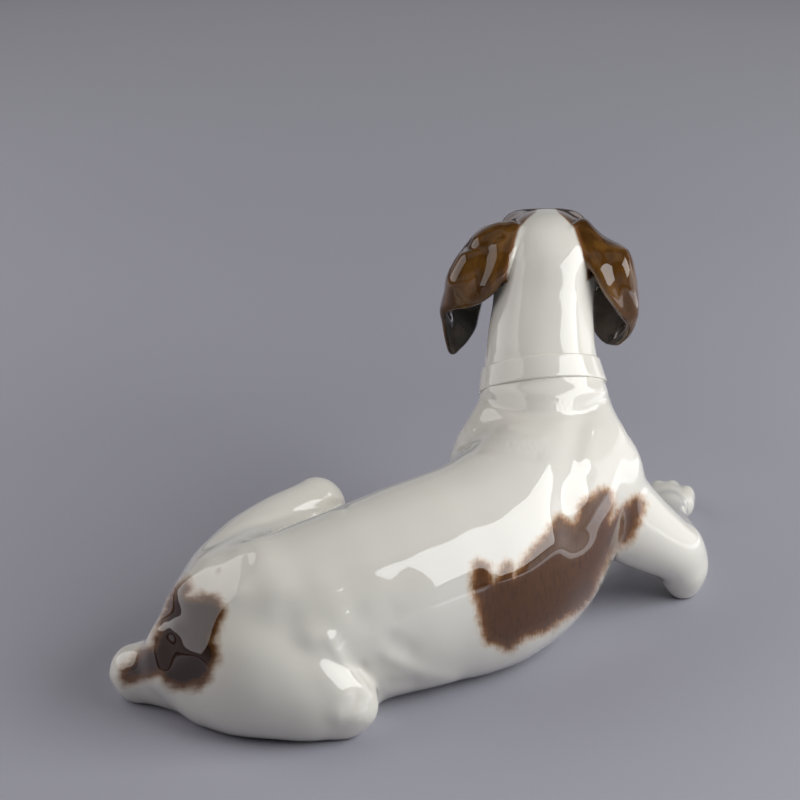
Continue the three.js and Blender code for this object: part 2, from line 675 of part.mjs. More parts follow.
const body = new THREE.Group();
body.rotation.z = THREE.MathUtils.degToRad(BODY_TURN);
body.add(
  meshOf('torso', torso, WHITE_GLAZE),
  meshOf('head', head, WHITE_GLAZE),
  meshOf('left_ear', leftEar, BROWN_GLAZE),
  meshOf('right_ear', rightEar, BROWN_GLAZE),
  meshOf('collar', collar, WHITE_GLAZE),
  meshOf('left_foreleg', foreleg('left'), WHITE_GLAZE),
  meshOf('right_foreleg', foreleg('right'), WHITE_GLAZE),
  meshOf('left_hind_leg', leftHindLeg, WHITE_GLAZE),
  meshOf('right_hind_leg', rightHindLeg, WHITE_GLAZE),
  meshOf('right_hind_foot', rightHindFoot, WHITE_GLAZE),
  meshOf('tail', tail, WHITE_GLAZE),
);

// The origin is the middle of the whole, on the ground

const figurine = new THREE.Group();
figurine.add(body);
figurine.updateMatrixWorld(true);
const box = new THREE.Box3().setFromObject(figurine, true);
const middle = box.getCenter(new THREE.Vector3());
figurine.position.set(-middle.x, -middle.y, -box.min.z);

export default figurine;
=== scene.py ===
"""The looks of a lying hound puppy in glazed porcelain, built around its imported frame.

The figurine is sculpted as one smooth distance field, in millimetres and in a sculptor's frame:
x to the dog's right, y straight ahead of its chest, z up. The field is meshed, engraved and
painted, then split into the castings that the frame names, and turned into the row frame.
Outlines that were read off the photograph are points in its 800 by 800 pixels.
"""

import math
from collections import Counter
from concurrent.futures import ThreadPoolExecutor

import bpy
import numpy as np
from mathutils import Matrix, Vector


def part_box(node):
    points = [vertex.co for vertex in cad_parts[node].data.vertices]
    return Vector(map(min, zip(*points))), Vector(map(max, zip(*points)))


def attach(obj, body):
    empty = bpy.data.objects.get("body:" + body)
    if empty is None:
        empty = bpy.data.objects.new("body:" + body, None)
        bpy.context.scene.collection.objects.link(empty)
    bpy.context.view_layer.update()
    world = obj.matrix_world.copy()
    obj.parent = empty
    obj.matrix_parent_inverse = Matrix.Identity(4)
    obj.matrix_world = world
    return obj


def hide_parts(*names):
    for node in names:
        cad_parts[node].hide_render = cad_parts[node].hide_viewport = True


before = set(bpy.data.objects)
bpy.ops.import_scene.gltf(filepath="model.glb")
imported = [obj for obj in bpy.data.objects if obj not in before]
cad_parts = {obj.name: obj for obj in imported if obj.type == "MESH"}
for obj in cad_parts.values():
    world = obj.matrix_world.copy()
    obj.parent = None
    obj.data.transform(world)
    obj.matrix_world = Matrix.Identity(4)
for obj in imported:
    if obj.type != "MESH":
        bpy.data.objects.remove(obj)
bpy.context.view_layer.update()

MM = 0.001
CELL = 0.9  # mesh size of the body, in millimetres
HEAD_CELL = 0.55  # and of the head and ears

# Shapes as distance fields. Each one takes rows of points and gives, for each, roughly how far
# it lies outside the shape, negative inside.

FAR = 1e3
REACH = 8.0  # how far from a shape its distance is still worked out


def unit(v):
    v = np.asarray(v, float)
    return v / (np.linalg.norm(v, axis=-1, keepdims=True) + 1e-12)


def catmull(points, count):
    """`count` rows along the Catmull-Rom curve through the rows of `points`."""
    p = np.asarray(points, float)
    p = np.concatenate([[2 * p[0] - p[1]], p, [2 * p[-1] - p[-2]]])
    t = np.linspace(0, len(p) - 3, count)
    i = np.minimum(t.astype(int), len(p) - 4)
    u = (t - i).reshape(-1, *[1] * (p.ndim - 1))
    a, b, c, d = p[i], p[i + 1], p[i + 2], p[i + 3]
    cubic = 3 * b - a - 3 * c + d
    square = 2 * a - 5 * b + 4 * c - d
    return 0.5 * (2 * b + (c - a) * u + square * u**2 + cubic * u**3)


def smoothstep(low, high, x):
    t = np.clip((x - low) / (high - low), 0, 1)
    return t * t * (3 - 2 * t)


def ellipse_distance(parts, radii):
    """Distance to an ellipsoid, from the offset along each of its axes."""
    scaled = np.sqrt(sum((o / r) ** 2 for o, r in zip(parts, radii)))
    slope = np.sqrt(sum((o / r**2) ** 2 for o, r in zip(parts, radii)))
    return scaled * (scaled - 1) / (slope + 1e-9)


def blended(p, table, spread):
    """For each point the mean row of `table`, whose rows start with a place, weighted by nearness."""
    places = table[:, :3]
    gap = (places**2).sum(1) - 2 * p @ places.T
    gap -= gap.min(1, keepdims=True)
    weight = np.exp(-gap / spread**2)
    return weight @ table / weight.sum(1, keepdims=True)


class Shape:
    """Anything with a box from `low` to `high` that bounds it."""

    def bound(self, points, pad):
        self.low = points.min(0) - pad
        self.high = points.max(0) + pad

    def near(self, p, pad):
        return np.all((p > self.low - pad) & (p < self.high + pad), axis=1)


class Tube(Shape):
    """A limb: stations of x, y, z, half width, half height above and below, with rounded ends."""

    def __init__(self, stations, up=(0, 0, 1), cap=1.0, spacing=3.0):
        stations = np.asarray(stations, float)
        length = np.linalg.norm(np.diff(stations[:, :3], axis=0), axis=1).sum()
        count = max(4, int(np.ceil(length / spacing)) + 1)
        rows = catmull(stations, 8 * count)
        run = np.linalg.norm(np.diff(rows[:, :3], axis=0), axis=1)
        run = np.concatenate([[0], np.cumsum(run)])
        even = np.linspace(0, run[-1], count)
        rows = np.stack([np.interp(even, run, column) for column in rows.T], 1)
        centre, size = rows[:, :3], np.maximum(rows[:, 3:6], 0.5)
        along = unit(np.gradient(centre, axis=0))
        side = unit(np.cross(np.asarray(up, float), along))
        self.step = even[1]
        self.last = count - 1
        spare = int(np.ceil(size.max() / self.step)) + 4
        index = np.arange(-spare, count + spare)
        on = np.clip(index, 0, self.last)
        beyond = (index - on)[:, None] * self.step * along[on]
        data = np.hstack([size, side, np.cross(along, side)])
        self.table = np.hstack([centre[on] + beyond, index[:, None], data[on]])
        self.cap = cap
        self.bound(centre, size.max() * max(1, cap))

    def __call__(self, p):
        mixed = blended(p, self.table, 1.2 * self.step)
        o = p - mixed[:, :3]
        at = mixed[:, 3]
        half, above, below = mixed[:, 4:7].T
        side, over = mixed[:, 7:10], mixed[:, 10:13]
        l = (o * side).sum(1)
        v = (o * over).sum(1)
        height = below + (above - below) * smoothstep(-0.5, 0.5, v / half)
        beyond = np.maximum(0, np.maximum(at - self.last, -at)) * self.step
        reach = np.minimum(half, height) * self.cap
        return ellipse_distance((l, v, beyond), (half, height, reach))


class Ball(Shape):
    """An ellipsoid with half axes along `x`, towards `up`, and across both."""

    def __init__(self, centre, radii, x=(1, 0, 0), up=(0, 0, 1)):
        self.centre = np.asarray(centre, float)
        self.radii = np.broadcast_to(np.asarray(radii, float), 3)
        first = unit(x)
        third = unit(np.cross(first, up))
        self.axes = np.stack([first, np.cross(third, first), third])
        self.bound(self.centre[None], self.radii.max())

    def __call__(self, p):
        return ellipse_distance(((p - self.centre) @ self.axes.T).T, self.radii)


class Sheet(Shape):
    """A thick flap through a grid of points; `thick` gives its half thickness on each row."""

    def __init__(self, grid, thick, rows=40, columns=26):
        grid = np.asarray(grid, float)
        down = catmull(grid, rows)
        full = catmull(down.transpose(1, 0, 2), columns).transpose(1, 0, 2)
        normal = unit(np.cross(np.gradient(full, axis=0), np.gradient(full, axis=1)))
        half = np.repeat(catmull(np.asarray(thick, float)[:, None], rows), columns, 1)
        self.table = np.concatenate([full, normal, half[..., None]], 2).reshape(-1, 7)
        gaps = np.linalg.norm(np.diff(full, axis=0), axis=2)
        self.spread = 1.25 * gaps.mean()
        self.bound(full.reshape(-1, 3), half.max())

    def around(self, p):
        """Each point's height over the flap's middle, its distance past the rim, and the half thickness."""
        mixed = blended(p, self.table, self.spread)
        o = p - mixed[:, :3]
        normal = unit(mixed[:, 3:6])
        out = (o * normal).sum(1)
        rim = np.linalg.norm(o - out[:, None] * normal, axis=1)
        return out, rim, mixed[:, 6]

    def __call__(self, p):
        out, rim, half = self.around(p)
        return np.sqrt(out**2 + rim**2) - half


class Blend(Shape):
    """Shapes joined with a fillet of about the size given; a negative one carves the shape out."""

    def __init__(self, *parts):
        self.parts = parts
        self.low = np.min([shape.low for shape, _ in parts], 0)
        self.high = np.max([shape.high for shape, _ in parts], 0)

    def __call__(self, p):
        d = np.full(len(p), FAR)
        for shape, fillet in self.parts:
            m = shape.near(p, REACH)
            if not m.any():
                continue
            near = shape(p[m])
            if fillet < 0:
                d[m] = -smooth_least(-d[m], near, -fillet)
            elif fillet:
                d[m] = smooth_least(d[m], near, fillet)
            else:
                d[m] = np.minimum(d[m], near)
        return d


def smooth_least(a, b, fillet):
    h = np.maximum(fillet - np.abs(a - b), 0) / fillet
    return np.minimum(a, b) - h**3 * fillet / 6


BATCH = 12000
WORKERS = ThreadPoolExecutor(4)


def in_batches(field, p):
    return np.concatenate(list(WORKERS.map(field, [p[s:s + BATCH] for s in range(0, len(p), BATCH)])))


CORNERS = np.array([(i, j, k) for i in (0, 1) for j in (0, 1) for k in (0, 1)])
HALVES = np.stack(np.meshgrid(*[np.arange(3)] * 3, indexing="ij"), -1).reshape(-1, 3)


def lattice(field, low, high, cell, levels=3):
    """Field values on a lattice, halved in steps near the surface and only rough away from it."""
    count = np.ceil((high - low) / (cell * 2**levels)).astype(int)
    nodes = np.argwhere(np.ones(count + 1, bool))
    values = np.empty(count + 1, np.float32)
    values[tuple(nodes.T)] = in_batches(field, low + cell * 2**levels * nodes)
    for level in range(levels - 1, -1, -1):
        reach = 1.2 * cell * 2 ** (level + 1)
        corners = [values[i:i + count[0], j:j + count[1], k:k + count[2]] for i, j, k in CORNERS]
        marked = np.argwhere((np.min(corners, 0) < reach) & (np.max(corners, 0) > -reach))
        count = count * 2
        for axis in range(3):
            values = np.repeat(values, 2, axis)
        values = values[:count[0] + 1, :count[1] + 1, :count[2] + 1].copy()
        needed = np.zeros(count + 1, bool)
        needed[tuple((marked[:, None, :] * 2 + HALVES[None]).reshape(-1, 3).T)] = True
        nodes = np.argwhere(needed)
        values[tuple(nodes.T)] = in_batches(field, low + cell * 2**level * nodes)
    return values


def surface_nets(values, low, cell):
    """Vertices and quads of the surface where the lattice values change sign."""
    inside = values < 0
    n = np.array(values.shape) - 1
    full = sum(inside[i:i + n[0], j:j + n[1], k:k + n[2]].astype(np.int8) for i, j, k in CORNERS)
    active = (full > 0) & (full < 8)
    cells = np.argwhere(active)
    number = np.full(active.shape, -1)
    number[active] = np.arange(len(cells))
    corner = np.stack([values[tuple((cells + s).T)] for s in CORNERS], 1)
    total = np.zeros((len(cells), 3))
    hits = np.zeros(len(cells))
    for a in range(8):
        for b in range(a + 1, 8):
            edge = CORNERS[b] - CORNERS[a]
            if np.abs(edge).sum() != 1:
                continue
            m = (corner[:, a] < 0) != (corner[:, b] < 0)
            t = corner[m, a] / (corner[m, a] - corner[m, b])
            total[m] += CORNERS[a] + t[:, None] * edge
            hits[m] += 1
    vertices = low + cell * (cells + total / hits[:, None])
    quads = []
    for axis in range(3):
        b, c = (axis + 1) % 3, (axis + 2) % 3
        starts, ends = (inside.take(range(k, n[axis] + k), axis) for k in (0, 1))
        edges = np.argwhere(starts != ends)
        edges = edges[(edges[:, [b, c]] > 0).all(1) & (edges[:, b] < n[b]) & (edges[:, c] < n[c])]
        along_b, along_c = np.eye(3, dtype=int)[[b, c]]
        around = [edges - back for back in (along_b + along_c, along_c, 0, along_b)]
        quad = np.stack([number[tuple(e.T)] for e in around], 1)
        flip = ~starts[tuple(edges.T)]
        quad[flip] = quad[flip][:, ::-1]
        quads.append(quad)
    return vertices, np.concatenate(quads)


TETRAHEDRON = np.array([(1, -1, -1), (-1, -1, 1), (-1, 1, -1), (1, 1, 1)])


def gradient(field, p, step=0.2):
    return sum(in_batches(field, p + step * k)[:, None] * k for k in TETRAHEDRON) / (4 * step)


def settle(field, p, most):
    """Moves points onto the surface, by `most` at most."""
    slope = gradient(field, p)
    move = -in_batches(field, p)[:, None] * slope / np.maximum((slope**2).sum(1, keepdims=True), 0.2)
    length = np.linalg.norm(move, axis=1, keepdims=True)
    return p + move * np.minimum(1, most / np.maximum(length, 1e-9))


# The dog's forms: stations run along each limb

MIDLINE = -3.0
NECK_UP, AHEAD = (0, -1, 0.5), (0, 1, 0)

TRUNK = Tube([
    [-119, -92, 20, 16, 16, 22],
    [-108, -90, 25, 24.5, 26, 27],
    [-90, -85.5, 29, 29.5, 28.4, 31],
    [-69, -77, 32, 30, 31.2, 34],
    [-46, -65.5, 34.5, 30.6, 33.5, 36.5],
    [-24, -51.5, 37, 31.2, 34.5, 39.5],
    [-9, -34, 41, 29.4, 36, 38.5],
    [-3, -14, 45, 28, 33, 34],
    [-2, 2, 45, 22, 26, 29],
])
NECK_STATIONS = [
    [MIDLINE - 0.2, -18, 58, 26.5, 22, 24],
    [MIDLINE - 0.3, -9.3, 72, 22.8, 20, 22],
    [MIDLINE - 1.7, -0.6, 86, 19.4, 18.5, 19.5],
    [MIDLINE - 1.0, 8.1, 100, 17.5, 17, 17.5],
    [MIDLINE, 16.8, 114, 16, 15.5, 16],
]
NECK = Tube(NECK_STATIONS, up=NECK_UP)


def both(make, fillet):
    """A form on the left and on the right, each with its fillet."""
    return [(make(way), fillet) for way in (-1, 1)]


RIGHT_BLADE = Tube([
    [MIDLINE + 15.2, -18, 62, 11.4, 9, 9],
    [MIDLINE + 18.8, -15, 52, 13.8, 14, 14],
    [MIDLINE + 16, -14, 40, 14, 16, 16],
], up=AHEAD)
LEFT_BLADE = Tube([
    [MIDLINE - 15.8, -17, 65.5, 10.8, 10, 9],
    [MIDLINE - 19, -15, 55, 13, 14, 14],
    [MIDLINE - 16.5, -14, 40, 14, 16, 16],
], up=AHEAD)


def pectoral(way):
    return Ball([MIDLINE + way * 10, 10, 42], (12, 17, 15))


TORSO = Blend((TRUNK, 0), (NECK, 12), (RIGHT_BLADE, 11), (LEFT_BLADE, 13), *both(pectoral, 7))

HEAD_AT = np.array([MIDLINE + 0.7, 25, 115.0])


def headed(x, y, z, *rest):
    return [*(HEAD_AT + (x, y, z)), *rest]


SKULL = Ball(headed(0, 0, -0.8), (18.2, 17.2, 24))
MUZZLE = Tube([
    headed(0, 6, -5.5, 14, 10, 12),
    headed(0, 19, -7, 11.4, 9.2, 11.5),
    headed(0, 32, -8.6, 10.4, 8.4, 11),
    headed(0, 41, -9.2, 9.4, 7.4, 10),
], cap=0.62)
JAW = Tube([
    headed(0, 2, -15.5, 9, 5, 5.5),
    headed(0, 20, -19, 7.6, 4.4, 4.2),
    headed(0, 36, -20.4, 5.8, 3.8, 3.6),
], cap=0.8)
NOSE = Ball(headed(0, 45.2, -4.9), (5.6, 4.4, 4.4))


def flew(way):
    return Tube([
        headed(way * 7.2, 14, -13.5, 5, 6, 5.5),
        headed(way * 6.4, 26, -14.8, 5.4, 6, 6.0),
        headed(way * 5.2, 38, -14.2, 5.0, 6, 5.6),
    ])


def brow(way):
    return Ball(headed(way * 8.2, 13.5, 7.0), (6.5, 4.8, 7.5))


def cheek(way):
    return Ball(headed(way * 10.0, 6, -8.0), (8.5, 10, 12))


EYE_SPOT = (10.4, 15.8, 2.4)
GAZE = (0.66, 0.74, 0.10)
EYEBALL, LID = 4.3, 5.1
SLIT_AHEAD, SLIT = 4.4, (3.7, 2.55, 3.4)


def mirrored(v, way):
    return np.array([way * v[0], v[1], v[2]])


def eye_at(way):
    return HEAD_AT + mirrored(EYE_SPOT, way)


def lid(way):
    return Ball(eye_at(way), LID)


def opening(way):
    gaze = unit(mirrored(GAZE, way))
    level = unit(np.cross(gaze, (0, 0, 1)) * way + np.array([0, 0, -0.12]))
    return Ball(eye_at(way) + SLIT_AHEAD * gaze, SLIT, x=level, up=np.cross(gaze, level))


def eyeball(way):
    return Ball(eye_at(way), EYEBALL)


def nostril(way):
    return Ball(headed(way * 3.1, 49.0, -4.9), (1.5, 1.1, 1.8), x=(1, 0.5 * way, 0))


HEAD = Blend(
    (SKULL, 0), (MUZZLE, 8), *both(cheek, 8), *both(brow, 8), *both(flew, 5), (JAW, 2.0), (NOSE, 1.5),
    *both(lid, 2.5), *both(opening, -0.9), *both(eyeball, 0.5), *both(nostril, -0.8),
)


def ear(rows, thick):
    """A hanging ear: its rows run down, and each row runs from the outer rim towards the face."""
    return Sheet([[[MIDLINE + x, y, z] for x, y, z in row] for row in rows], thick)


LEFT_EAR = ear([
    [(-8, 14, 127), (-11, 19, 128), (-12, 25, 126.5), (-10, 31, 123)],
    [(-12.5, 8, 123), (-19, 13, 125.5), (-20.5, 22, 125), (-16, 29, 120)],
    [(-15, 5, 117), (-26, 9, 120.5), (-27, 19, 118.5), (-20.5, 28, 114)],
    [(-19, 4, 111), (-30.5, 7, 113.5), (-31, 17, 111.5), (-22, 27, 107)],
    [(-25, 5, 106), (-31.5, 8, 107.5), (-32, 16, 105.5), (-22.5, 25, 101)],
    [(-33.8, 10, 102), (-34.3, 12, 101), (-33.5, 16, 99.5), (-23.5, 22, 96)],
    [(-34, 14, 95.5), (-33.5, 15, 95), (-31.5, 17, 93.5), (-24.5, 19.5, 91.5)],
    [(-33, 15.5, 88.5), (-32.6, 16, 88), (-31, 17, 87), (-27.6, 18, 86.5)],
    [(-31.9, 16, 84), (-31.8, 16, 83.8), (-31.4, 16.3, 83.6), (-30.8, 16.5, 83.6)],
], [2.2, 2.3, 2.2, 2.0, 1.9, 1.8, 1.7, 1.6, 1.5])
RIGHT_EAR = ear([
    [(8, 14, 127), (12, 19, 128.6), (13, 25, 127.3), (10, 31, 123)],
    [(13.5, 9, 121.5), (18, 14, 123), (18.5, 22, 122.5), (16, 29, 119)],
    [(17.5, 5, 117.5), (24.8, 9, 119.8), (26, 19, 119), (20, 28, 115)],
    [(20, 3.5, 112.5), (27.6, 7.5, 113.5), (28.4, 19, 112.5), (20, 27.5, 108.5)],
    [(23.5, 3.5, 107), (29, 7.5, 107.5), (29.4, 18, 106), (19.5, 26.5, 102)],
    [(26.5, 5.5, 101.5), (30, 9.5, 101), (29.4, 18, 99.5), (19, 25.5, 95.5)],
    [(29, 10.5, 96), (29.8, 13, 95), (28, 19, 93), (19, 24, 90)],
    [(28, 15, 90), (27.4, 17, 89.5), (25, 20, 88), (20.5, 22.5, 87)],
    [(25.8, 18, 86.6), (25.4, 18.5, 86.2), (24.2, 20, 85.8), (22.4, 21.4, 85.6)],
], [2.2, 2.3, 2.2, 2.1, 2.0, 1.9, 1.8, 1.7, 1.6])


def paw(x, y, heading, half):
    """A paw that points along `heading`, in degrees from straight ahead."""
    turn = np.radians(heading)
    ahead = np.array([-np.sin(turn), np.cos(turn)])
    across = np.array([np.cos(turn), np.sin(turn)])

    def spot(a, f):
        return list(np.array([x, y]) + across * a + ahead * f)

    parts = [(Ball([*spot(0, -2), 5.6], (11, 6.8, half * 0.92), x=(*ahead, 0)), 0)]
    for share, reach in ((-0.78, 0.8), (-0.27, 5.6), (0.27, 5.6), (0.78, 0.8)):
        toe = Tube([
            [*spot(share * half * 0.85, reach - 7), 6.6, 3.4, 4.4, 5],
            [*spot(share * half * 0.97, reach - 1.5), 7.2, 3.5, 4.4, 6],
            [*spot(share * half * 1.0, reach + 2.6), 4.4, 3.1, 3.6, 4.5],
        ], spacing=2.0, cap=0.9)
        parts.append((toe, 1.8))
    return Blend(*parts)


def foreleg(way, elbow, wrist, paw_at, heading):
    root = MIDLINE + way * 15
    upper = Tube([
        [root, -14, 45.5, 16, 18, 18],
        [root + (elbow - root) * 0.46, -12, 30.4, 14, 16, 14],
        [root + (elbow - root) * 0.85, -8, 19.4, 10.6, 11.5, 11],
        [elbow - way * 0.8, -4.5, 12.6, 7.6, 10, 9.5],
    ], up=AHEAD)
    lower = Tube([
        [elbow + way * 0.4, -4, 12, 7.6, 14, 13.5],
        [elbow + (wrist - elbow) * 0.25, 9, 11.8, 7.6, 11.6, 12.5],
        [elbow + (wrist - elbow) * 0.55, 28, 10, 6.4, 8.4, 11],
        [wrist, 44, 8.4, 6.0, 6.8, 9],
        [wrist + (paw_at - wrist) * 0.5, 53, 7.8, 6.8, 6.2, 9],
        [paw_at, 60, 6.4, 7.4, 5.4, 8],
    ])
    return Blend((upper, 0), (lower, 8), (paw(paw_at, 66, heading, 9.8), 5))


RIGHT_FORELEG = foreleg(1, 46, 45.5, 45.5, 0)
LEFT_FORELEG = foreleg(-1, -48, -38, -34, -4)

RIGHT_THIGH = Tube([
    [-112, -98, 21, 16, 20, 23],
    [-99, -105, 20, 17, 22, 22],
    [-84, -108, 15.5, 14, 16.5, 17],
    [-72, -105.5, 11, 12, 12.8, 13],
])
RIGHT_SHANK = Tube([[-74, -103, 9, 8, 8, 11], [-69, -92, 8, 8, 8, 10], [-64, -82, 7, 8, 7, 9]])
RIGHT_INSTEP = Tube([[-68, -62, 8, 7.5, 7.5, 9.5], [-61, -46, 8, 7.2, 6.6, 9.5], [-57, -34, 7, 7.6, 6, 8.5]])
RIGHT_HIND_LEG = Blend((RIGHT_THIGH, 0), (RIGHT_SHANK, 4))
RIGHT_HIND_FOOT = Blend((RIGHT_INSTEP, 0), (paw(-55.5, -29, -20, 8), 2.5))
LEFT_THIGH = Tube([
    [-110, -86, 30, 19.4, 21.4, 22],
    [-106, -68, 37, 16.2, 15.6, 18],
    [-95, -48, 42, 13.5, 12.8, 14],
    [-80.6, -30.5, 46.5, 8.8, 9.4, 8.4],
])
LEFT_SHANK = Tube([
    [-80.5, -29, 44, 8.6, 8.6, 8.6],
    [-88, -28, 26, 8, 8.5, 8],
    [-99, -37, 10, 6.6, 7, 7],
], up=AHEAD)
LEFT_INSTEP = Tube([
    [-100, -38, 8, 6.6, 6.6, 9.5],
    [-89, -25, 6.8, 6.6, 5.8, 8.5],
    [-79, -14, 6.5, 7.6, 5.8, 8],
])
LEFT_HIND_LEG = Blend((LEFT_THIGH, 0), (LEFT_SHANK, 5), (LEFT_INSTEP, 4), (paw(-75.5, -10, -45, 8), 2.5))
TAIL = Tube([
    [-112, -91, 22, 13, 13, 22],
    [-126, -86.5, 15.4, 11.6, 9.8, 17.5],
    [-138.8, -81.5, 9.8, 9.2, 8.8, 11.5],
])

PIECES = {
    "torso": (TORSO, 0), "head": (HEAD, 9), "right_hind_leg": (RIGHT_HIND_LEG, 5),
    "left_hind_leg": (LEFT_HIND_LEG, 8), "tail": (TAIL, 9), "right_foreleg": (RIGHT_FORELEG, 7),
    "left_foreleg": (LEFT_FORELEG, 7), "right_hind_foot": (RIGHT_HIND_FOOT, 3),
    "left_ear": (LEFT_EAR, 1.6), "right_ear": (RIGHT_EAR, 1.6),
}
VENT = Tube([[-46, -65.6, -6, 4, 4, 4], [-46, -65.6, 9, 4, 4, 4]], up=AHEAD, cap=0.3)
WHOLE = Blend(*PIECES.values(), (VENT, -0.8))

# The photograph's camera, in the sculptor's frame: it looks along +y and down

PICTURE = 800
FOCAL = 3240.0  # focal length in pixels
ELEVATION = math.radians(22)
ORIGIN_RIGHT, ORIGIN_DOWN = 150, 190  # where the sculptor's origin shows, from the picture's middle
ORIGIN_DEPTH = 1140.0

VIEW = np.array([0, math.cos(ELEVATION), -math.sin(ELEVATION)])
RIGHT = np.array([1.0, 0, 0])
UPWARD = np.array([0, math.sin(ELEVATION), math.cos(ELEVATION)])
EYE = -ORIGIN_DEPTH * (VIEW + (RIGHT * ORIGIN_RIGHT - UPWARD * ORIGIN_DOWN) / FOCAL)


def to_picture(p):
    """The picture's pixel where each point shows."""
    o = p - EYE
    return PICTURE / 2 + FOCAL * np.stack([o @ RIGHT, -o @ UPWARD], 1) / (o @ VIEW)[:, None]


def line_distance(points, line):
    """Distance from each 2-D point to a polyline."""
    line = np.asarray(line, float)
    nearest = np.full(len(points), np.inf)
    for a, b in zip(line[:-1], line[1:]):
        run = b - a
        t = np.clip((points - a) @ run / (run @ run), 0, 1)
        gap = np.linalg.norm(points - a - t[:, None] * run, axis=1)
        nearest = np.minimum(nearest, gap)
    return nearest


def outline_distance(points, outline):
    """Distance to a closed outline, positive inside it."""
    outline = np.asarray(outline, float)
    nearest = line_distance(points, np.vstack([outline, outline[:1]]))
    inside = np.zeros(len(points), bool)
    x, y = points.T
    for (x0, y0), (x1, y1) in zip(outline, np.roll(outline, -1, 0)):
        if y0 == y1:
            continue
        crosses = (y0 > y) != (y1 > y)
        inside ^= crosses & (x < x0 + (y - y0) * (x1 - x0) / (y1 - y0))
    return np.where(inside, nearest, -nearest)


def rounded(line, per_step=6):
    return catmull(line, per_step * (len(line) - 1) + 1)


# Folds, hollows and hair strokes: picture points, width in pixels, height in millimetres

RELIEF = {
    "thigh_crease": ([(200, 552), (232, 535), (270, 521), (304, 510), (330, 506), (344, 504)], 5.0, -0.55),
    "thigh_fold": ([(316, 513), (328, 511), (342, 510)], 3.0, 0.35),
    "croup_bulge": ([(206, 556), (228, 548), (250, 541)], 15, 0.8),
    "haunch_bulge": ([(262, 548), (276, 590)], 22, 1.2),
    "haunch_dimple": ([(286, 608), (290, 620)], 14, -0.5),
    "rump_ridge": ([(262, 562), (246, 588), (224, 608), (198, 652)], 12, 0.5),
    "rump_side": ([(240, 556), (238, 590)], 12, 0.6),
    "tail_root": ([(140, 678), (162, 680)], 14, 1.1),
    "tail_bulge": ([(150, 632), (172, 630)], 10, 0.75),
    "hip_ridge": ([(318, 580), (330, 596), (340, 612)], 15, 0.25),
    "loin_hollow": ([(358, 616), (372, 619), (390, 612)], 14, -0.5),
    "knee_bulge": ([(313, 642), (342, 690)], 17, 1.6),
    "knee_ridge": ([(330, 640), (346, 668), (376, 704)], 8, 0.7),
    "knee_dimple": ([(362, 668), (372, 684)], 6, -0.7),
    "knee_front": ([(340, 716), (370, 716)], 12, 1.3),
    "flank_hollow": ([(392, 640), (408, 650)], 11, -0.5),
    "flank_fold": ([(388, 657), (405, 665), (428, 674), (452, 679)], 8, 0.45),
    "belly_hollow": ([(392, 684), (414, 684)], 7, -0.4),
    "rib_bulge": ([(503, 580), (530, 569), (553, 549)], 12, 0.7),
    "blade_valley": ([(589, 412), (581, 442), (573, 474), (569, 505), (576, 532)], 17, -1.7),
    "blade_ridge": ([(592, 430), (588, 458)], 10, 0.9),
    "withers_bulge": ([(468, 430), (500, 432), (540, 437)], 10, 0.5),
    "withers_crease": ([(456, 446), (478, 447), (500, 448), (520, 451), (536, 455)], 6.5, -0.5),
    "nape_bulge": ([(492, 390), (545, 395), (600, 391)], 8, 0.7),
    "nape_crease": ([(484, 398), (505, 408), (530, 413), (560, 413), (588, 409), (608, 400)], 5.5, -0.6),
    "neck_right": ([(577, 250), (571, 280), (570, 320), (573, 352)], 13, 0.7),
    "neck_left": ([(520, 262), (517, 300), (508, 345)], 11, 0.6),
    "left_ear_top": ([(476, 238), (498, 224)], 6, 0.5),
    "left_ear_crease": ([(464, 247), (484, 245), (500, 235)], 4.5, -0.9),
    "left_ear_valley": ([(487, 250), (482, 270), (474, 292)], 6, -0.8),
    "left_ear_lobe": ([(500, 246), (497, 268), (488, 286)], 6, 0.6),
    "left_ear_rim": ([(464, 258), (458, 276), (450, 292)], 7, 0.5),
    "right_ear_rim": ([(624, 252), (630, 280), (637, 314)], 6, 0.7),
    "right_ear_valley": ([(606, 246), (616, 280), (626, 312)], 7, -0.6),
}
STROKES = [
    [(552.5, 401), (552.8, 405.5), (555, 410)],
    [(557, 401), (557.6, 405.5), (560.4, 410)],
    [(561.6, 401), (562.4, 405), (565.6, 409.5)],
    [(566.6, 401.5), (567.6, 405), (570.2, 408.5)],
    [(509, 443), (510, 447), (513, 451)],
    [(518, 443.5), (520.5, 448), (524.5, 452)],
    [(524.5, 443.5), (527, 448), (531.5, 452.5)],
    [(531, 443.5), (533.5, 448), (538, 452)],
    [(537, 443.5), (539.5, 447.5), (543.5, 451)],
]
STROKE_WIDTH, STROKE_DEPTH = 1.15, 0.07
SWELL_LENGTH, SWELL_HEIGHT = 17.0, 0.10  # uneven hand-finished surface, in millimetres
SWELL_TILTS = ((1, 0.3, 0.2), (-0.4, 1, 0.5), (0.2, -0.5, 1), (0.8, 0.8, -0.6))
SLOPE_STEP = 0.3  # how far to each side the relief is read for its slope
RELIEF_FACING = (0.05, 0.35)  # how squarely the skin faces the camera where the relief starts and is full


def relief(p):
    """How far each point on the near side of the figurine is raised, in millimetres."""
    spots = to_picture(p)
    height = np.zeros(len(p))
    for line, width, rise in RELIEF.values():
        height += rise * np.exp(-((line_distance(spots, rounded(line)) / width) ** 2))
    for line in STROKES:
        height -= STROKE_DEPTH * np.exp(-((line_distance(spots, line) / STROKE_WIDTH) ** 2))
    return height


def swell(p):
    """A faint unevenness all over, from a few crossed waves."""
    total = np.zeros(len(p))
    for k, tilt in enumerate(SWELL_TILTS):
        length = SWELL_LENGTH * (1 + 0.23 * k)
        total += np.sin(p @ np.array(tilt) * 2 * math.pi / length + 1.7 * k)
    return SWELL_HEIGHT * total / 2


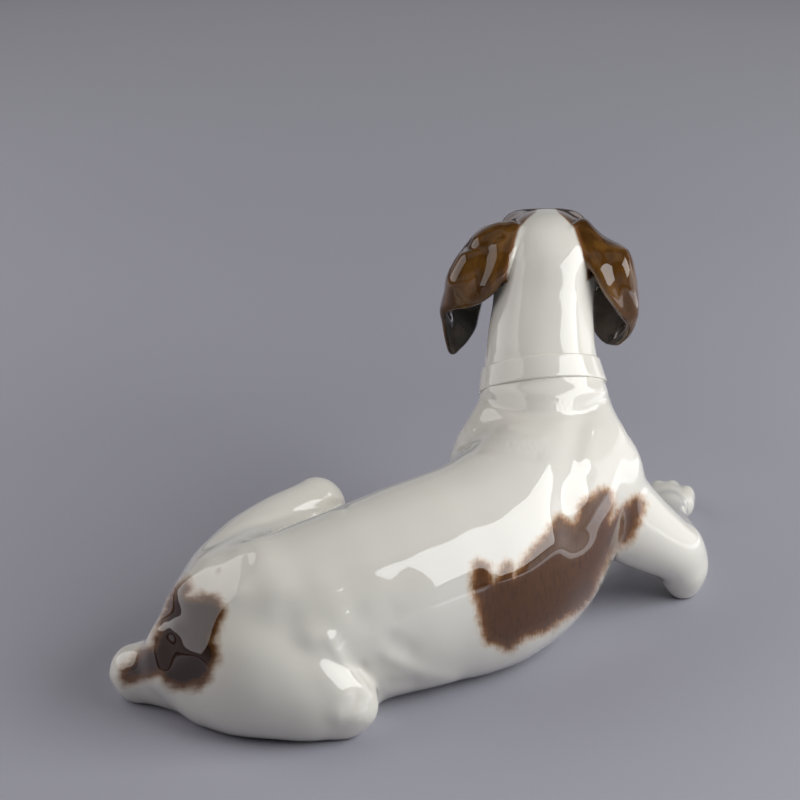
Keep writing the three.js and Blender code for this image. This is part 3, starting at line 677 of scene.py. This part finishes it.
def engrave(p, normals):
    """Moves the points by the relief, and turns the normals with it."""
    facing = smoothstep(*RELIEF_FACING, -normals @ VIEW)

    def height(q):
        return facing * relief(q) + swell(q)

    steps = SLOPE_STEP * np.eye(3)
    slope = np.stack([(height(p + s) - height(p - s)) / (2 * SLOPE_STEP) for s in steps], 1)
    slope -= (slope * normals).sum(1, keepdims=True) * normals
    return p + height(p)[:, None] * normals, unit(normals - slope)


# Painted patches: outlines in the picture

SHOULDER_PATCH = [
    (476.8, 563), (486, 567), (494, 584.5), (507.6, 564.5), (514, 578), (530, 555), (548, 535), (557, 520),
    (561, 519), (572, 525.6), (578.6, 520), (584, 504), (596, 496), (605, 491), (610.7, 500), (609.4, 525.6),
    (618.7, 513.6), (630.8, 503), (638.8, 499), (641.5, 507), (636, 524), (628, 539), (617.4, 545.7),
    (608, 556.4), (598.7, 573.8), (594.6, 587), (588, 599), (577, 608.7), (567.9, 614), (558.5, 620.7),
    (543.7, 630), (525, 635.4), (513, 644.8), (507.6, 647.5), (494, 642), (487.5, 639.5), (482, 620.7),
    (479.5, 604.6), (474, 588.6), (475.4, 573.8),
]
RUMP_PATCH = [
    (186.7, 580.4), (171.4, 593), (156, 636.5), (151, 645.5), (130.6, 662), (121.7, 672), (125.5, 682.4),
    (142, 678.6), (157.4, 674.8), (166.3, 682.4), (181.6, 687.6), (202, 685), (212, 668.4), (218.6, 657),
    (214.8, 639), (222.4, 614.8), (218.6, 599.5), (202, 595.7), (187, 597), (189, 585.5),
]
PIXELS_PER_MM = 2.9
PATCHES_END = (10, 20)  # places ahead of the chest's middle between which the patches stop
PATCH_FACING = (0.15, -0.35)  # how squarely the skin faces the camera where they fade and are gone
FAR_OUTSIDE = 30  # distance given to points that the photo doesn't show


def patch(p, normals, outline):
    """Distance in millimetres to a patch's rim, positive inside, on the side that the photo shows."""
    inside = outline_distance(to_picture(p), rounded(outline + outline[:1], 4)[:-1]) / PIXELS_PER_MM
    hidden = smoothstep(*PATCH_FACING, -normals @ VIEW) + smoothstep(*PATCHES_END, p[:, 1])
    return inside - FAR_OUTSIDE * hidden


BLAZE_HEIGHTS = (3, 8, 12, 16, 19)  # over the head's middle
BLAZE_HALF_WIDTHS = (13.6, 12, 10.6, 8.9, 5.3)
FOREHEAD_HALF_WIDTH, MUZZLE_WIDENING = 3.6, 3.5
CAP_LOW, CAP_RISE, CAP_AHEAD = -9, 8, 27  # lower rim in front, its rise to the back, and front rim


def beside_blaze(p):
    """Distance beyond the rim of the white blaze that runs up the nape and over the head."""
    x, y, z = (p - HEAD_AT).T
    behind = smoothstep(4, -12, y)
    blaze_behind = np.interp(z, BLAZE_HEIGHTS, BLAZE_HALF_WIDTHS) - 0.5 * np.sign(x)
    blaze_ahead = FOREHEAD_HALF_WIDTH + MUZZLE_WIDENING * smoothstep(16, 30, y)
    return np.abs(x) - (blaze_ahead + (blaze_behind - blaze_ahead) * behind)


def head_patch(p):
    """Distance to the rim of the brown caps over the ears, cheeks and eyes."""
    x, y, z = (p - HEAD_AT).T
    over_cheek = z - (CAP_LOW + CAP_RISE * smoothstep(2, -10, y))
    behind_muzzle = CAP_AHEAD - y - 0.4 * z
    return np.minimum(np.minimum(beside_blaze(p), over_cheek), behind_muzzle)


PUPIL = 1.4  # radius in millimetres, along the eyeball
OFF_FACE = 9.0  # most that a distance to the eyes or the nose counts


def pupil_distance(p):
    """Distance from the rim of the nearer pupil, along the eyeball."""
    nearest = np.full(len(p), OFF_FACE)
    for way in (-1, 1):
        o = p - eye_at(way)
        cosine = o @ unit(mirrored(GAZE, way)) / np.maximum(np.linalg.norm(o, axis=1), 1e-6)
        nearest = np.minimum(nearest, EYEBALL * np.arccos(np.clip(cosine, -1, 1)) - PUPIL)
    return nearest


def lid_distance(p):
    """Distance to the nearer rim of the eyelids, negative on the open eye."""
    distance = np.full(len(p), OFF_FACE)
    for way in (-1, 1):
        gap = opening(way)
        near = gap.near(p, 2)
        distance[near] = gap(p[near])
    return distance


EARS = {"left_ear": LEFT_EAR, "right_ear": RIGHT_EAR}


def inner_side(ear, p):
    """From -1 on the outer face of an ear to 1 on the face that looks at the head."""
    middle, normal = ear.table[:, :3], ear.table[:, 3:6]
    outward = np.sign((normal * (middle - HEAD_AT))[:, :2].sum())
    out, _, half = ear.around(p)
    return -outward * np.clip(out / half, -1, 1)


# Meshing: the part below the collar and the head above it, each split into its castings

COLLAR_AT = 0.432  # place of the collar's middle along the neck, from 0 to 1
COLLAR_HEIGHT = 8.2
COLLAR_PROUD = 0.95
NECK_STEPS = 400
NECK_LINE = catmull([row[:3] for row in NECK_STATIONS], NECK_STEPS + 1)


def neck_point(share):
    return NECK_LINE[int(share * NECK_STEPS)]


SEAM = neck_point(COLLAR_AT)
NECK_AXIS = unit(neck_point(COLLAR_AT + 0.02) - neck_point(COLLAR_AT - 0.02))
GROUND_EDGE = 1.2  # rounding where the underside is ground flat


def skin(p):
    return -smooth_least(-WHOLE(p), p[:, 2], GROUND_EDGE)


def below_seam(p):
    return np.maximum(skin(p), (p - SEAM) @ NECK_AXIS)


def above_seam(p):
    return np.maximum(skin(p), -(p - SEAM) @ NECK_AXIS)


HOLLOW_REACH = 3.0  # how far out the skin is probed for creases


def surface(field, low, high, cell):
    """Vertices, normals, quads and creases of the part of the skin that `field` bounds."""
    low, high = np.asarray(low, float), np.asarray(high, float)
    vertices, quads = surface_nets(lattice(field, low, high, cell), low, cell)
    vertices = settle(field, vertices, cell)
    normals = unit(gradient(skin, vertices))
    # How enclosed each vertex is: the glaze darkens by it in creases, as pooled glaze and as painted shade
    open_air = in_batches(skin, vertices + HOLLOW_REACH * normals)
    pooled_glaze_and_shade = 1 - np.clip(open_air / HOLLOW_REACH, 0, 1)
    vertices, normals = engrave(vertices, normals)
    vertices[:, 2] = np.maximum(vertices[:, 2], 0)
    return vertices, normals, quads, pooled_glaze_and_shade


def islands(quads):
    """A number for each quad that tells which connected group it is in."""
    group = np.arange(quads.max() + 1)
    while True:
        least = group[quads].min(1)
        new = group.copy()
        for column in quads.T:
            np.minimum.at(new, column, least)
        new = new[new]
        if (new == group).all():
            return np.unique(group[quads[:, 0]], return_inverse=True)[1]
        group = new


def split(vertices, quads, pieces, rest):
    """The quads of each piece: those nearer to its own field than to any other's."""
    fields = np.stack([in_batches(piece, vertices) for piece in pieces.values()], 1)
    owner = fields[quads].mean(1).argmin(1)
    own = {}
    for k, name in enumerate(pieces):
        if name != rest:
            mine = np.flatnonzero(owner == k)
            group = islands(quads[mine])
            own[name] = mine[group == np.bincount(group).argmax()]
    own[rest] = np.setdiff1d(np.arange(len(quads)), np.concatenate(list(own.values())))
    return own


def closed(vertices, quads):
    """The piece's own vertices and faces, with each open rim closed by a fan inside the body."""
    used = np.unique(quads)
    number = np.full(quads.max() + 1, -1)
    number[used] = np.arange(len(used))
    faces = [tuple(q) for q in number[quads].tolist()]
    edges = Counter()
    for a, b, c, d in faces:
        edges.update(((a, b), (b, c), (c, d), (d, a)))
    following = {}
    for (a, b), uses in edges.items():
        if uses > edges[b, a]:
            following.setdefault(a, []).extend([b] * (uses - edges[b, a]))
    centres = []
    while following:
        start = next(iter(following))
        step, loop = start, []
        while step != start or not loop:
            loop.append(step)
            onward = following[step].pop()
            if not following[step]:
                del following[step]
            step = onward
        middle = len(used) + len(centres)
        centres.append(vertices[used[loop]].mean(0))
        faces += [(b, a, middle) for a, b in zip(loop, loop[1:] + loop[:1])]
    return used, np.array(centres).reshape(-1, 3), faces


BODY_TURN = math.radians(-45)  # from the sculptor's frame to the row frame
COLLAR_BOX_MIDDLE = np.array([-5.578, 0.700])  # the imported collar's box, turned but not yet moved


def turned(v):
    c, s = math.cos(BODY_TURN), math.sin(BODY_TURN)
    return np.asarray(v, float) @ np.array([[c, s, 0], [-s, c, 0], [0, 0, 1]])


ORIGIN = np.zeros(3)
ORIGIN[:2] = np.mean(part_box("collar"), 0)[:2] - COLLAR_BOX_MIDDLE * MM


def placed(v):
    """Points of the sculptor's frame in the row frame, in metres."""
    return turned(v) * MM + ORIGIN


def add_object(name, data):
    thing = bpy.data.objects.new(name, data)
    bpy.context.scene.collection.objects.link(thing)
    return thing


def make_object(name, vertices, faces, normals, layers, slot):
    mesh = bpy.data.meshes.new(name)
    mesh.from_pydata(placed(vertices).tolist(), [], faces)
    mesh.shade_smooth()
    for layer, values in layers.items():
        kind, field = ("FLOAT", "value") if values.ndim == 1 else ("FLOAT_VECTOR", "vector")
        attribute = mesh.attributes.new(layer, kind, "POINT")
        attribute.data.foreach_set(field, values.astype(np.float32).ravel())
    mesh.normals_split_custom_set_from_vertices(turned(normals).tolist())
    mesh.materials.append(GLAZES[slot])
    obj = add_object(name + "_casting", mesh)
    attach(obj, "root")
    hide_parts(name)


def paint_layers(p, normals, pooled_glaze_and_shade):
    """What the glaze reads at each vertex: distances to the painted rims in millimetres, and the like."""
    spots = to_picture(p)
    return {
        "shoulder": patch(p, normals, SHOULDER_PATCH),
        "rump": patch(p, normals, RUMP_PATCH),
        "cap": head_patch(p),
        "pupil": pupil_distance(p),
        "lids": lid_distance(p),
        "nose": np.minimum(NOSE(p), OFF_FACE),
        "inside": np.zeros(len(p)),
        # From 0 on the dog's left to 1 on its right: the inner ears turn browner towards the right
        "rightward": smoothstep(-5, 5, p[:, 0] - MIDLINE),
        "pooled_glaze_and_shade": pooled_glaze_and_shade,
        "height": p[:, 2],
        "spot": np.stack([spots[:, 0], spots[:, 1], np.zeros(len(p))], 1) / PIXELS_PER_MM,
    }


def add_castings(field, low, high, cell, pieces, rest):
    vertices, normals, quads, pooled_glaze_and_shade = surface(field, low, high, cell)
    layers = paint_layers(vertices, normals, pooled_glaze_and_shade)
    for name, own in split(vertices, quads, pieces, rest).items():
        used, centres, faces = closed(vertices, quads[own])
        mine = {layer: values[used] for layer, values in layers.items()}
        slot = "white_glaze"
        if name in EARS:
            slot = "brown_glaze"
            mine["inside"] = inner_side(EARS[name], vertices[used])
            mine["cap"] = beside_blaze(vertices[used])
        for layer, values in mine.items():
            mine[layer] = np.concatenate([values, np.zeros((len(centres), *values.shape[1:]))])
        all_vertices = np.vstack([vertices[used], centres])
        all_normals = np.vstack([normals[used], np.tile([0, 0, 1.0], (len(centres), 1))])
        make_object(name, all_vertices, faces, all_normals, mine, slot)


# Collar: a band round the neck over the seam, with softly rounded edges

COLLAR_SIDES = 240
COLLAR_PROFILE = [  # share of the half height, share of how far it stands proud
    (-1.0, -0.5), (-1.0, 0.3), (-0.985, 0.62), (-0.94, 0.86), (-0.86, 0.97), (-0.7, 1.0),
    (-0.35, 1.02), (0, 1.03), (0.35, 1.02),
    (0.7, 1.0), (0.86, 0.97), (0.94, 0.86), (0.985, 0.62), (1.0, 0.3), (1.0, -0.5),
]
LEAST_NECK_RADIUS, MOST_NECK_RADIUS = 8.0, 40.0
HALVINGS = 22
RIM_SHADE = (0.6, 0.5, 0.2)  # how much painted shade darkens the collar's outer rows, as in a crease, from each rim inwards


def skin_radius(centre, ways):
    """How far the skin is from the centre along each way, found by halving."""
    near = np.full(len(ways), LEAST_NECK_RADIUS)
    far = np.full(len(ways), MOST_NECK_RADIUS)
    for _ in range(HALVINGS):
        middle = (near + far) / 2
        outside = skin(centre + middle[:, None] * ways) > 0
        far = np.where(outside, middle, far)
        near = np.where(outside, near, middle)
    return near


def add_collar():
    side = unit(np.cross(NECK_AXIS, (0, 1, 0)))
    over = np.cross(side, NECK_AXIS)
    turn = np.linspace(0, 2 * math.pi, COLLAR_SIDES, endpoint=False)
    ways = np.cos(turn)[:, None] * side + np.sin(turn)[:, None] * over
    rings = []
    for height, proud in COLLAR_PROFILE:
        centre = SEAM + NECK_AXIS * height * COLLAR_HEIGHT / 2
        reach = skin_radius(centre, ways) + proud * COLLAR_PROUD
        rings.append(centre + reach[:, None] * ways)
    grid = np.array(rings)
    number = np.arange(len(rings) * COLLAR_SIDES).reshape(len(rings), COLLAR_SIDES)
    after = np.roll(number, -1, 0)
    quads = np.stack([number, np.roll(number, -1, 1), np.roll(after, -1, 1), after], -1)
    faces = quads.reshape(-1, 4).tolist()
    down = np.roll(grid, -1, 0) - np.roll(grid, 1, 0)
    around = np.roll(grid, -1, 1) - np.roll(grid, 1, 1)
    normals = unit(np.cross(around, down)).reshape(-1, 3)
    vertices = grid.reshape(-1, 3)
    # The collar's rims darken with painted shade, through the same layer as the creases
    smooth = (0,) * (len(rings) - 2 * len(RIM_SHADE))
    pooled_glaze_and_shade = np.repeat(RIM_SHADE + smooth + RIM_SHADE[::-1], COLLAR_SIDES)
    make_object("collar", vertices, faces, normals, paint_layers(vertices, normals, pooled_glaze_and_shade), "white_glaze")


# Glazes: shader nodes that paint the layers of each vertex

WARM_WHITE, COOL_WHITE = (0.805, 0.780, 0.700), (0.790, 0.772, 0.712)
# Darker white in the creases: glaze pooled there, and painted shade
POOLED_AND_SHADED_WHITE = (0.67, 0.645, 0.57)
SHOULDER_RAMP = [  # millimetres inside the rim, colour
    (-3.6, (0.74, 0.58, 0.40)), (-1.8, (0.55, 0.33, 0.15)), (-0.5, (0.30, 0.14, 0.048)),
    (0.8, (0.125, 0.050, 0.016)), (3.0, (0.092, 0.036, 0.011)),
]
RUMP_RAMP = [
    (-3.2, (0.68, 0.54, 0.38)), (-1.4, (0.40, 0.23, 0.10)), (0.4, (0.15, 0.064, 0.018)),
    (2.8, (0.030, 0.010, 0.002)),
]
CAP_RAMP = [(-0.8, (0.40, 0.24, 0.12)), (0.2, (0.20, 0.085, 0.026)), (2.5, (0.15, 0.055, 0.014))]
CHESTNUT, LIGHT_CHESTNUT, DARK_CHESTNUT = (0.084, 0.034, 0.005), (0.160, 0.070, 0.012), (0.020, 0.008, 0.002)
# Nearly black painted shade on each ear's face that looks at the head, mottled with brown
INNER_EAR_SHADE, INNER_EAR_SHADE_BROWN = (0.010, 0.007, 0.005), (0.075, 0.048, 0.030)
NOSE_BROWN, EYE_RIM = (0.020, 0.014, 0.011), (0.012, 0.008, 0.006)
IRIS, PUPIL_BLACK, EYE_WHITE = (0.085, 0.032, 0.008), (0.004, 0.003, 0.003), (0.46, 0.42, 0.37)
STROKE_SLANT, STREAK_SLANT = math.radians(-8), math.radians(6)
TINT_SCALE, MOTTLE_SCALE, RAGGED_SCALE, RAGGED_WIDTH = 28.0, 120.0, 160.0, 0.6
BISCUIT = (0.70, 0.67, 0.61)  # unglazed porcelain of the foot
FOOT_LINE = (0.25, 0.55)  # heights between which the glaze begins
BISCUIT_ROUGHNESS, GLAZE_ROUGHNESS = 0.75, 0.11
GLOSS = {"IOR": 1.5, "Specular IOR Level": 0.1, "Coat Roughness": 0.02, "Coat IOR": 1.55}
RIPPLE_SCALE, RIPPLE_DEPTH = 420.0, 0.00002


class Nodes:
    """Short names for the shader nodes of one material or world."""

    def __init__(self, owner):
        owner.use_nodes = True
        self.owner = owner
        self.tree = owner.node_tree
        self.tree.nodes.clear()

    def add(self, kind, inputs=None, **settings):
        node = self.tree.nodes.new(kind)
        for key, value in settings.items():
            setattr(node, key, value)
        for key, value in (inputs or {}).items():
            if isinstance(value, bpy.types.NodeSocket):
                self.tree.links.new(value, node.inputs[key])
            else:
                node.inputs[key].default_value = value
        return node

    def layer(self, name, output="Fac"):
        return self.add("ShaderNodeAttribute", attribute_name=name).outputs[output]

    def math(self, operation, a, b=0.0):
        return self.add("ShaderNodeMath", {0: a, 1: b}, operation=operation).outputs[0]

    def times(self, a, b):
        return self.math("MULTIPLY", a, b)

    def sway(self, noise, reach):
        """A noise turned into a shift to both sides, over a span of `reach`."""
        return self.times(self.math("SUBTRACT", noise, 0.5), reach)

    def step(self, value, low, high):
        """0 below `low`, 1 above `high`, smooth between; falling where `low` is the larger."""
        inputs = {"Value": value, "From Min": low, "From Max": high}
        return self.add("ShaderNodeMapRange", inputs, interpolation_type="SMOOTHSTEP").outputs["Result"]

    def noise(self, vector, scale, detail=2.0):
        inputs = {"Vector": vector, "Scale": scale, "Detail": detail}
        return self.add("ShaderNodeTexNoise", inputs).outputs["Fac"]

    def stretched(self, vector, scale, turn=0.0):
        inputs = {"Vector": vector, "Scale": scale, "Rotation": (0, 0, turn)}
        return self.add("ShaderNodeMapping", inputs).outputs[0]

    def mix(self, share, a, b):
        a, b = [c if isinstance(c, bpy.types.NodeSocket) else (*c, 1) for c in (a, b)]
        return self.add("ShaderNodeMix", {0: share, 6: a, 7: b}, data_type="RGBA").outputs[2]

    def ramp(self, value, stops):
        low, high = stops[0][0], stops[-1][0]
        inputs = {"Value": value, "From Min": low, "From Max": high}
        share = self.add("ShaderNodeMapRange", inputs).outputs["Result"]
        node = self.add("ShaderNodeValToRGB", {"Fac": share})
        for k, (at, colour) in enumerate(stops):
            place = (at - low) / (high - low)
            points = node.color_ramp.elements
            point = points[0] if k == 0 else points[-1] if k == len(stops) - 1 else points.new(place)
            point.position = place
            point.color = (*colour, 1)
        return node.outputs["Color"]

    def finish(self, looks):
        """Gives the material its surface, and hands it over."""
        surface = self.add("ShaderNodeBsdfPrincipled", looks)
        self.add("ShaderNodeOutputMaterial", {"Surface": surface.outputs[0]})
        return self.owner


def brushed(n, layer, spot, stretch, detail, reach, cloud, drift):
    """The distance inside a patch's rim, made uneven by fine strokes and by a slow cloud."""
    strokes = n.noise(n.stretched(spot, stretch, STROKE_SLANT), 1.0, detail)
    wander = n.math("ADD", n.sway(strokes, reach), n.sway(n.noise(spot, cloud), drift))
    return n.math("ADD", n.layer(layer), wander)


def shoulder_paint(n, under, spot):
    """Reddish brown with fine strokes that run down the picture and an amber fringe."""
    depth = brushed(n, "shoulder", spot, stretch=(1.7, 0.24, 1), detail=3.0, reach=1.3, cloud=0.45, drift=2.4)
    tone = n.noise(n.stretched(spot, (0.9, 0.22, 1), STREAK_SLANT), 1.0)
    colour = n.mix(n.times(n.step(tone, 0.42, 0.75), 0.35), n.ramp(depth, SHOULDER_RAMP), DARK_CHESTNUT)
    return n.mix(n.step(depth, -3.6, 0.2), under, colour)


def rump_paint(n, under, spot):
    """Dark brown, sprayed on softly, with faint strokes across its right rim."""
    depth = brushed(n, "rump", spot, stretch=(0.2, 1.1, 1), detail=2.0, reach=1.0, cloud=0.22, drift=4.0)
    return n.mix(n.step(depth, -3.2, 1.0), under, n.ramp(depth, RUMP_RAMP))


def chestnut(n, place, pooled_glaze_and_shade):
    """The brown of the ears and caps: thinly painted and warm in places, with painted shade darkening it in
    the folds.
    """
    brush = n.noise(n.stretched(place, (190, 190, 60)), 1.0, 3.0)
    cloud = n.noise(place, 55.0)
    colour = n.mix(n.step(brush, 0.40, 0.68), CHESTNUT, LIGHT_CHESTNUT)
    colour = n.mix(n.times(n.step(cloud, 0.48, 0.72), 0.7), colour, DARK_CHESTNUT)
    # Painted shade: the brown darkens in the folds and creases
    return n.mix(n.times(n.step(pooled_glaze_and_shade, 0.15, 0.8), 0.8), colour, DARK_CHESTNUT)


def face_paint(n, under):
    """Nose, eyelids and eyes."""
    under = n.mix(n.step(n.layer("nose"), 0.55, 0.15), under, NOSE_BROWN)
    pupil = n.layer("pupil")
    lids = n.layer("lids")
    eye = n.mix(n.step(pupil, 1.35, 1.6), n.mix(n.step(pupil, 0.05, -0.05), IRIS, PUPIL_BLACK), EYE_WHITE)
    under = n.mix(n.step(lids, 0.55, 0.25), under, EYE_RIM)
    return n.mix(n.step(lids, -0.10, -0.30), under, eye)


def glaze(name, ear):
    """A glossy glaze that is painted by the layers, and bare porcelain below the foot line."""
    n = Nodes(bpy.data.materials.new(name))
    place = n.add("ShaderNodeTexCoord").outputs["Object"]
    spot = n.layer("spot", "Vector")
    pooled_glaze_and_shade = n.layer("pooled_glaze_and_shade")
    brown = chestnut(n, place, pooled_glaze_and_shade)
    colour = n.mix(n.noise(place, TINT_SCALE), WARM_WHITE, COOL_WHITE)
    # Creases darken the white: pooled glaze and painted shade
    colour = n.mix(n.times(n.step(pooled_glaze_and_shade, 0.05, 0.9), 0.8), colour, POOLED_AND_SHADED_WHITE)
    if ear:
        mottle = n.math("ADD", n.noise(place, MOTTLE_SCALE), n.times(n.layer("rightward"), 0.16))
        # The ear's face that looks at the head gets painted shade, mottled with brown
        inner_shade = n.mix(n.step(mottle, 0.45, 0.72), INNER_EAR_SHADE, INNER_EAR_SHADE_BROWN)
        brown = n.mix(n.step(n.layer("inside"), -0.35, 0.45), brown, inner_shade)
    else:
        colour = shoulder_paint(n, colour, spot)
        colour = rump_paint(n, colour, spot)
    cap = n.math("ADD", n.layer("cap"), n.sway(n.noise(place, RAGGED_SCALE), RAGGED_WIDTH))
    fringe = n.mix(n.step(cap, 0.2, 2.0), n.ramp(cap, CAP_RAMP), brown)
    colour = n.mix(n.step(cap, -0.8, 0.5), colour, fringe)
    if not ear:
        colour = face_paint(n, colour)
    glazed = n.step(n.layer("height"), *FOOT_LINE)
    ripple = {"Height": n.noise(place, RIPPLE_SCALE, 1.0), "Distance": RIPPLE_DEPTH, "Strength": 0.5}
    bump = n.add("ShaderNodeBump", ripple).outputs["Normal"]
    polish = n.times(glazed, BISCUIT_ROUGHNESS - GLAZE_ROUGHNESS)
    return n.finish({
        "Base Color": n.mix(glazed, BISCUIT, colour),
        "Roughness": n.math("SUBTRACT", BISCUIT_ROUGHNESS, polish),
        "Coat Weight": glazed, "Normal": bump, "Coat Normal": bump, **GLOSS,
    })


GLAZES = {
    "white_glaze": glaze("white_porcelain_glaze", False),
    "brown_glaze": glaze("brown_porcelain_glaze", True),
}

# The figurine

BODY = {name: PIECES[name][0] for name in (
    "torso", "tail", "right_hind_leg", "left_hind_leg", "right_hind_foot", "right_foreleg", "left_foreleg",
)}
ABOVE = {"head": Blend((HEAD, 0), (NECK, 0)), **EARS}
BODY_SPACE = (-158, -130, -4), (62, 86, 108)  # low and high corners of what is meshed, in millimetres
HEAD_SPACE = (-46, -26, 68), (36, 84, 138)
add_castings(below_seam, *BODY_SPACE, CELL, BODY, "torso")
add_castings(above_seam, *HEAD_SPACE, HEAD_CELL, ABOVE, "head")
add_collar()


# Studio: the photograph's camera, softboxes, a pale table on the right and a floor with painted light and
# shade

SENSOR = 36.0
LAMP_TARGET = np.array([-40, -15, 50.0])
BACKDROP, DARK_CEILING, FILL = (0.262, 0.262, 0.292), (0.03, 0.03, 0.033), (0.02, 0.02, 0.02)
CEILING_AT = 0.35  # upward share of a direction from which the ceiling is fully dark
PINKISH = (1, 0.97, 0.97)
SOFTBOXES = {  # azimuth, elevation, distance, width, height, radiance, tint
    "softbox_right": (70, 33, 0.75, 0.78, 0.52, 4.2),
    "softbox_left": (-92, 31, 0.65, 0.88, 0.62, 1.4, PINKISH),
    "low_strip_right": (96, 5, 0.60, 0.80, 0.18, 0.8),
    "softbox_front": (180, 20, 0.90, 0.90, 0.50, 0.12),
    "softbox_top": (0, 88, 0.90, 0.90, 0.90, 0.2),
}
TABLE_PLACE, TABLE_WAY = np.array([285, -60, 3.0]), np.array([-0.05, 0, 1.0])
TABLE = (0.60, 0.42, 1.25)  # width, depth, radiance
FLOOR_RADIUS, FLOOR_SIDES = 4.0, 96
PAPER_LIGHT_AND_SHADE = [(0.06, 0.385), (0.2, 0.408), (0.45, 0.56), (0.8, 0.86)]  # metres from the middle, grey: painted shade near the figurine, painted light further off
PAPER_LIGHT_SLANT = 0.08  # how much the painted light grows towards the right
PAPER_BLUE, MOST_BLUE = 1.15, 0.95
FIBRE_GREY, FIBRE_SHARE, FIBRE_SCALE = (0.2, 0.2, 0.22), 0.05, 900.0


def add_camera():
    data = bpy.data.cameras.new("camera")
    data.sensor_width = SENSOR
    data.lens = FOCAL * SENSOR / PICTURE
    camera = add_object("camera", data)
    axes = turned(np.stack([RIGHT, UPWARD, -VIEW])).T
    camera.matrix_world = Matrix.Translation(Vector(placed(EYE))) @ Matrix(axes.tolist()).to_4x4()
    bpy.context.scene.camera = camera


def add_lamp(name, place, way, width, height, radiance, tint=(1, 1, 1)):
    """A rectangular soft light at `place` that shines along `way`; sizes in metres."""
    data = bpy.data.lights.new(name, "AREA")
    data.shape = "RECTANGLE"
    data.size, data.size_y = width, height
    data.energy = radiance * math.pi * width * height
    data.color = tint
    lamp = add_object(name, data)
    lamp.location = placed(place)
    lamp.rotation_euler = Vector(turned(way)).to_track_quat("-Z", "Y").to_euler()
    lamp.visible_camera = False


def add_softbox(name, azimuth, elevation, distance, *rest):
    """A softbox aimed at the figurine: azimuth from the camera's side to the right, in degrees."""
    az, el = math.radians(azimuth), math.radians(elevation)
    way = np.array([math.sin(az) * math.cos(el), -math.cos(az) * math.cos(el), math.sin(el)])
    add_lamp(name, LAMP_TARGET + way * distance / MM, -way, *rest)


def floor_paper_with_painted_light():
    """Paper with painted light and shade: greyest under the figurine, paler away from it and towards the
    right.
    """
    n = Nodes(bpy.data.materials.new("floor_paper_with_painted_light"))
    place = n.add("ShaderNodeTexCoord").outputs["Object"]
    away = n.add("ShaderNodeVectorMath", {0: place}, operation="LENGTH").outputs["Value"]
    right = {0: place, 1: turned(RIGHT)}
    across = n.add("ShaderNodeVectorMath", right, operation="DOT_PRODUCT").outputs["Value"]
    away = n.math("ADD", away, n.times(across, PAPER_LIGHT_SLANT))
    stops = [(distance, (grey, grey, min(grey * PAPER_BLUE, MOST_BLUE))) for distance, grey in PAPER_LIGHT_AND_SHADE]
    colour = n.mix(n.times(n.noise(place, FIBRE_SCALE), FIBRE_SHARE), n.ramp(away, stops), FIBRE_GREY)
    return n.finish({"Base Color": colour, "Roughness": 0.75, "Specular IOR Level": 0.25})


def add_floor():
    turns = np.linspace(0, 2 * math.pi, FLOOR_SIDES, endpoint=False)
    points = FLOOR_RADIUS * np.stack([np.cos(turns), np.sin(turns), 0 * turns], 1)
    mesh = bpy.data.meshes.new("floor")
    mesh.from_pydata(points.tolist(), [], [tuple(range(FLOOR_SIDES))])
    mesh.materials.append(floor_paper_with_painted_light())
    floor = add_object("floor", mesh)


def light_world():
    """A dim even fill, with the backdrop's tone where the world is seen or reflected."""
    n = Nodes(bpy.data.worlds.new("studio"))
    path = n.add("ShaderNodeLightPath").outputs
    seen = path["Is Camera Ray"]
    for ray in ("Is Glossy Ray", "Is Transmission Ray"):
        seen = n.math("MAXIMUM", seen, path[ray])
    way = n.add("ShaderNodeSeparateXYZ", {0: n.add("ShaderNodeTexCoord").outputs["Generated"]})
    studio = n.mix(n.step(way.outputs["Z"], 0.0, CEILING_AT), BACKDROP, DARK_CEILING)
    background = n.add("ShaderNodeBackground", {0: n.mix(seen, FILL, studio)})
    n.add("ShaderNodeOutputWorld", {0: background.outputs[0]})
    bpy.context.scene.world = n.owner


add_camera()
for name, facts in SOFTBOXES.items():
    add_softbox(name, *facts)
add_lamp("table_reflector", TABLE_PLACE, TABLE_WAY, *TABLE)
add_floor()
light_world()
bpy.context.scene.view_settings.view_transform = "Standard"
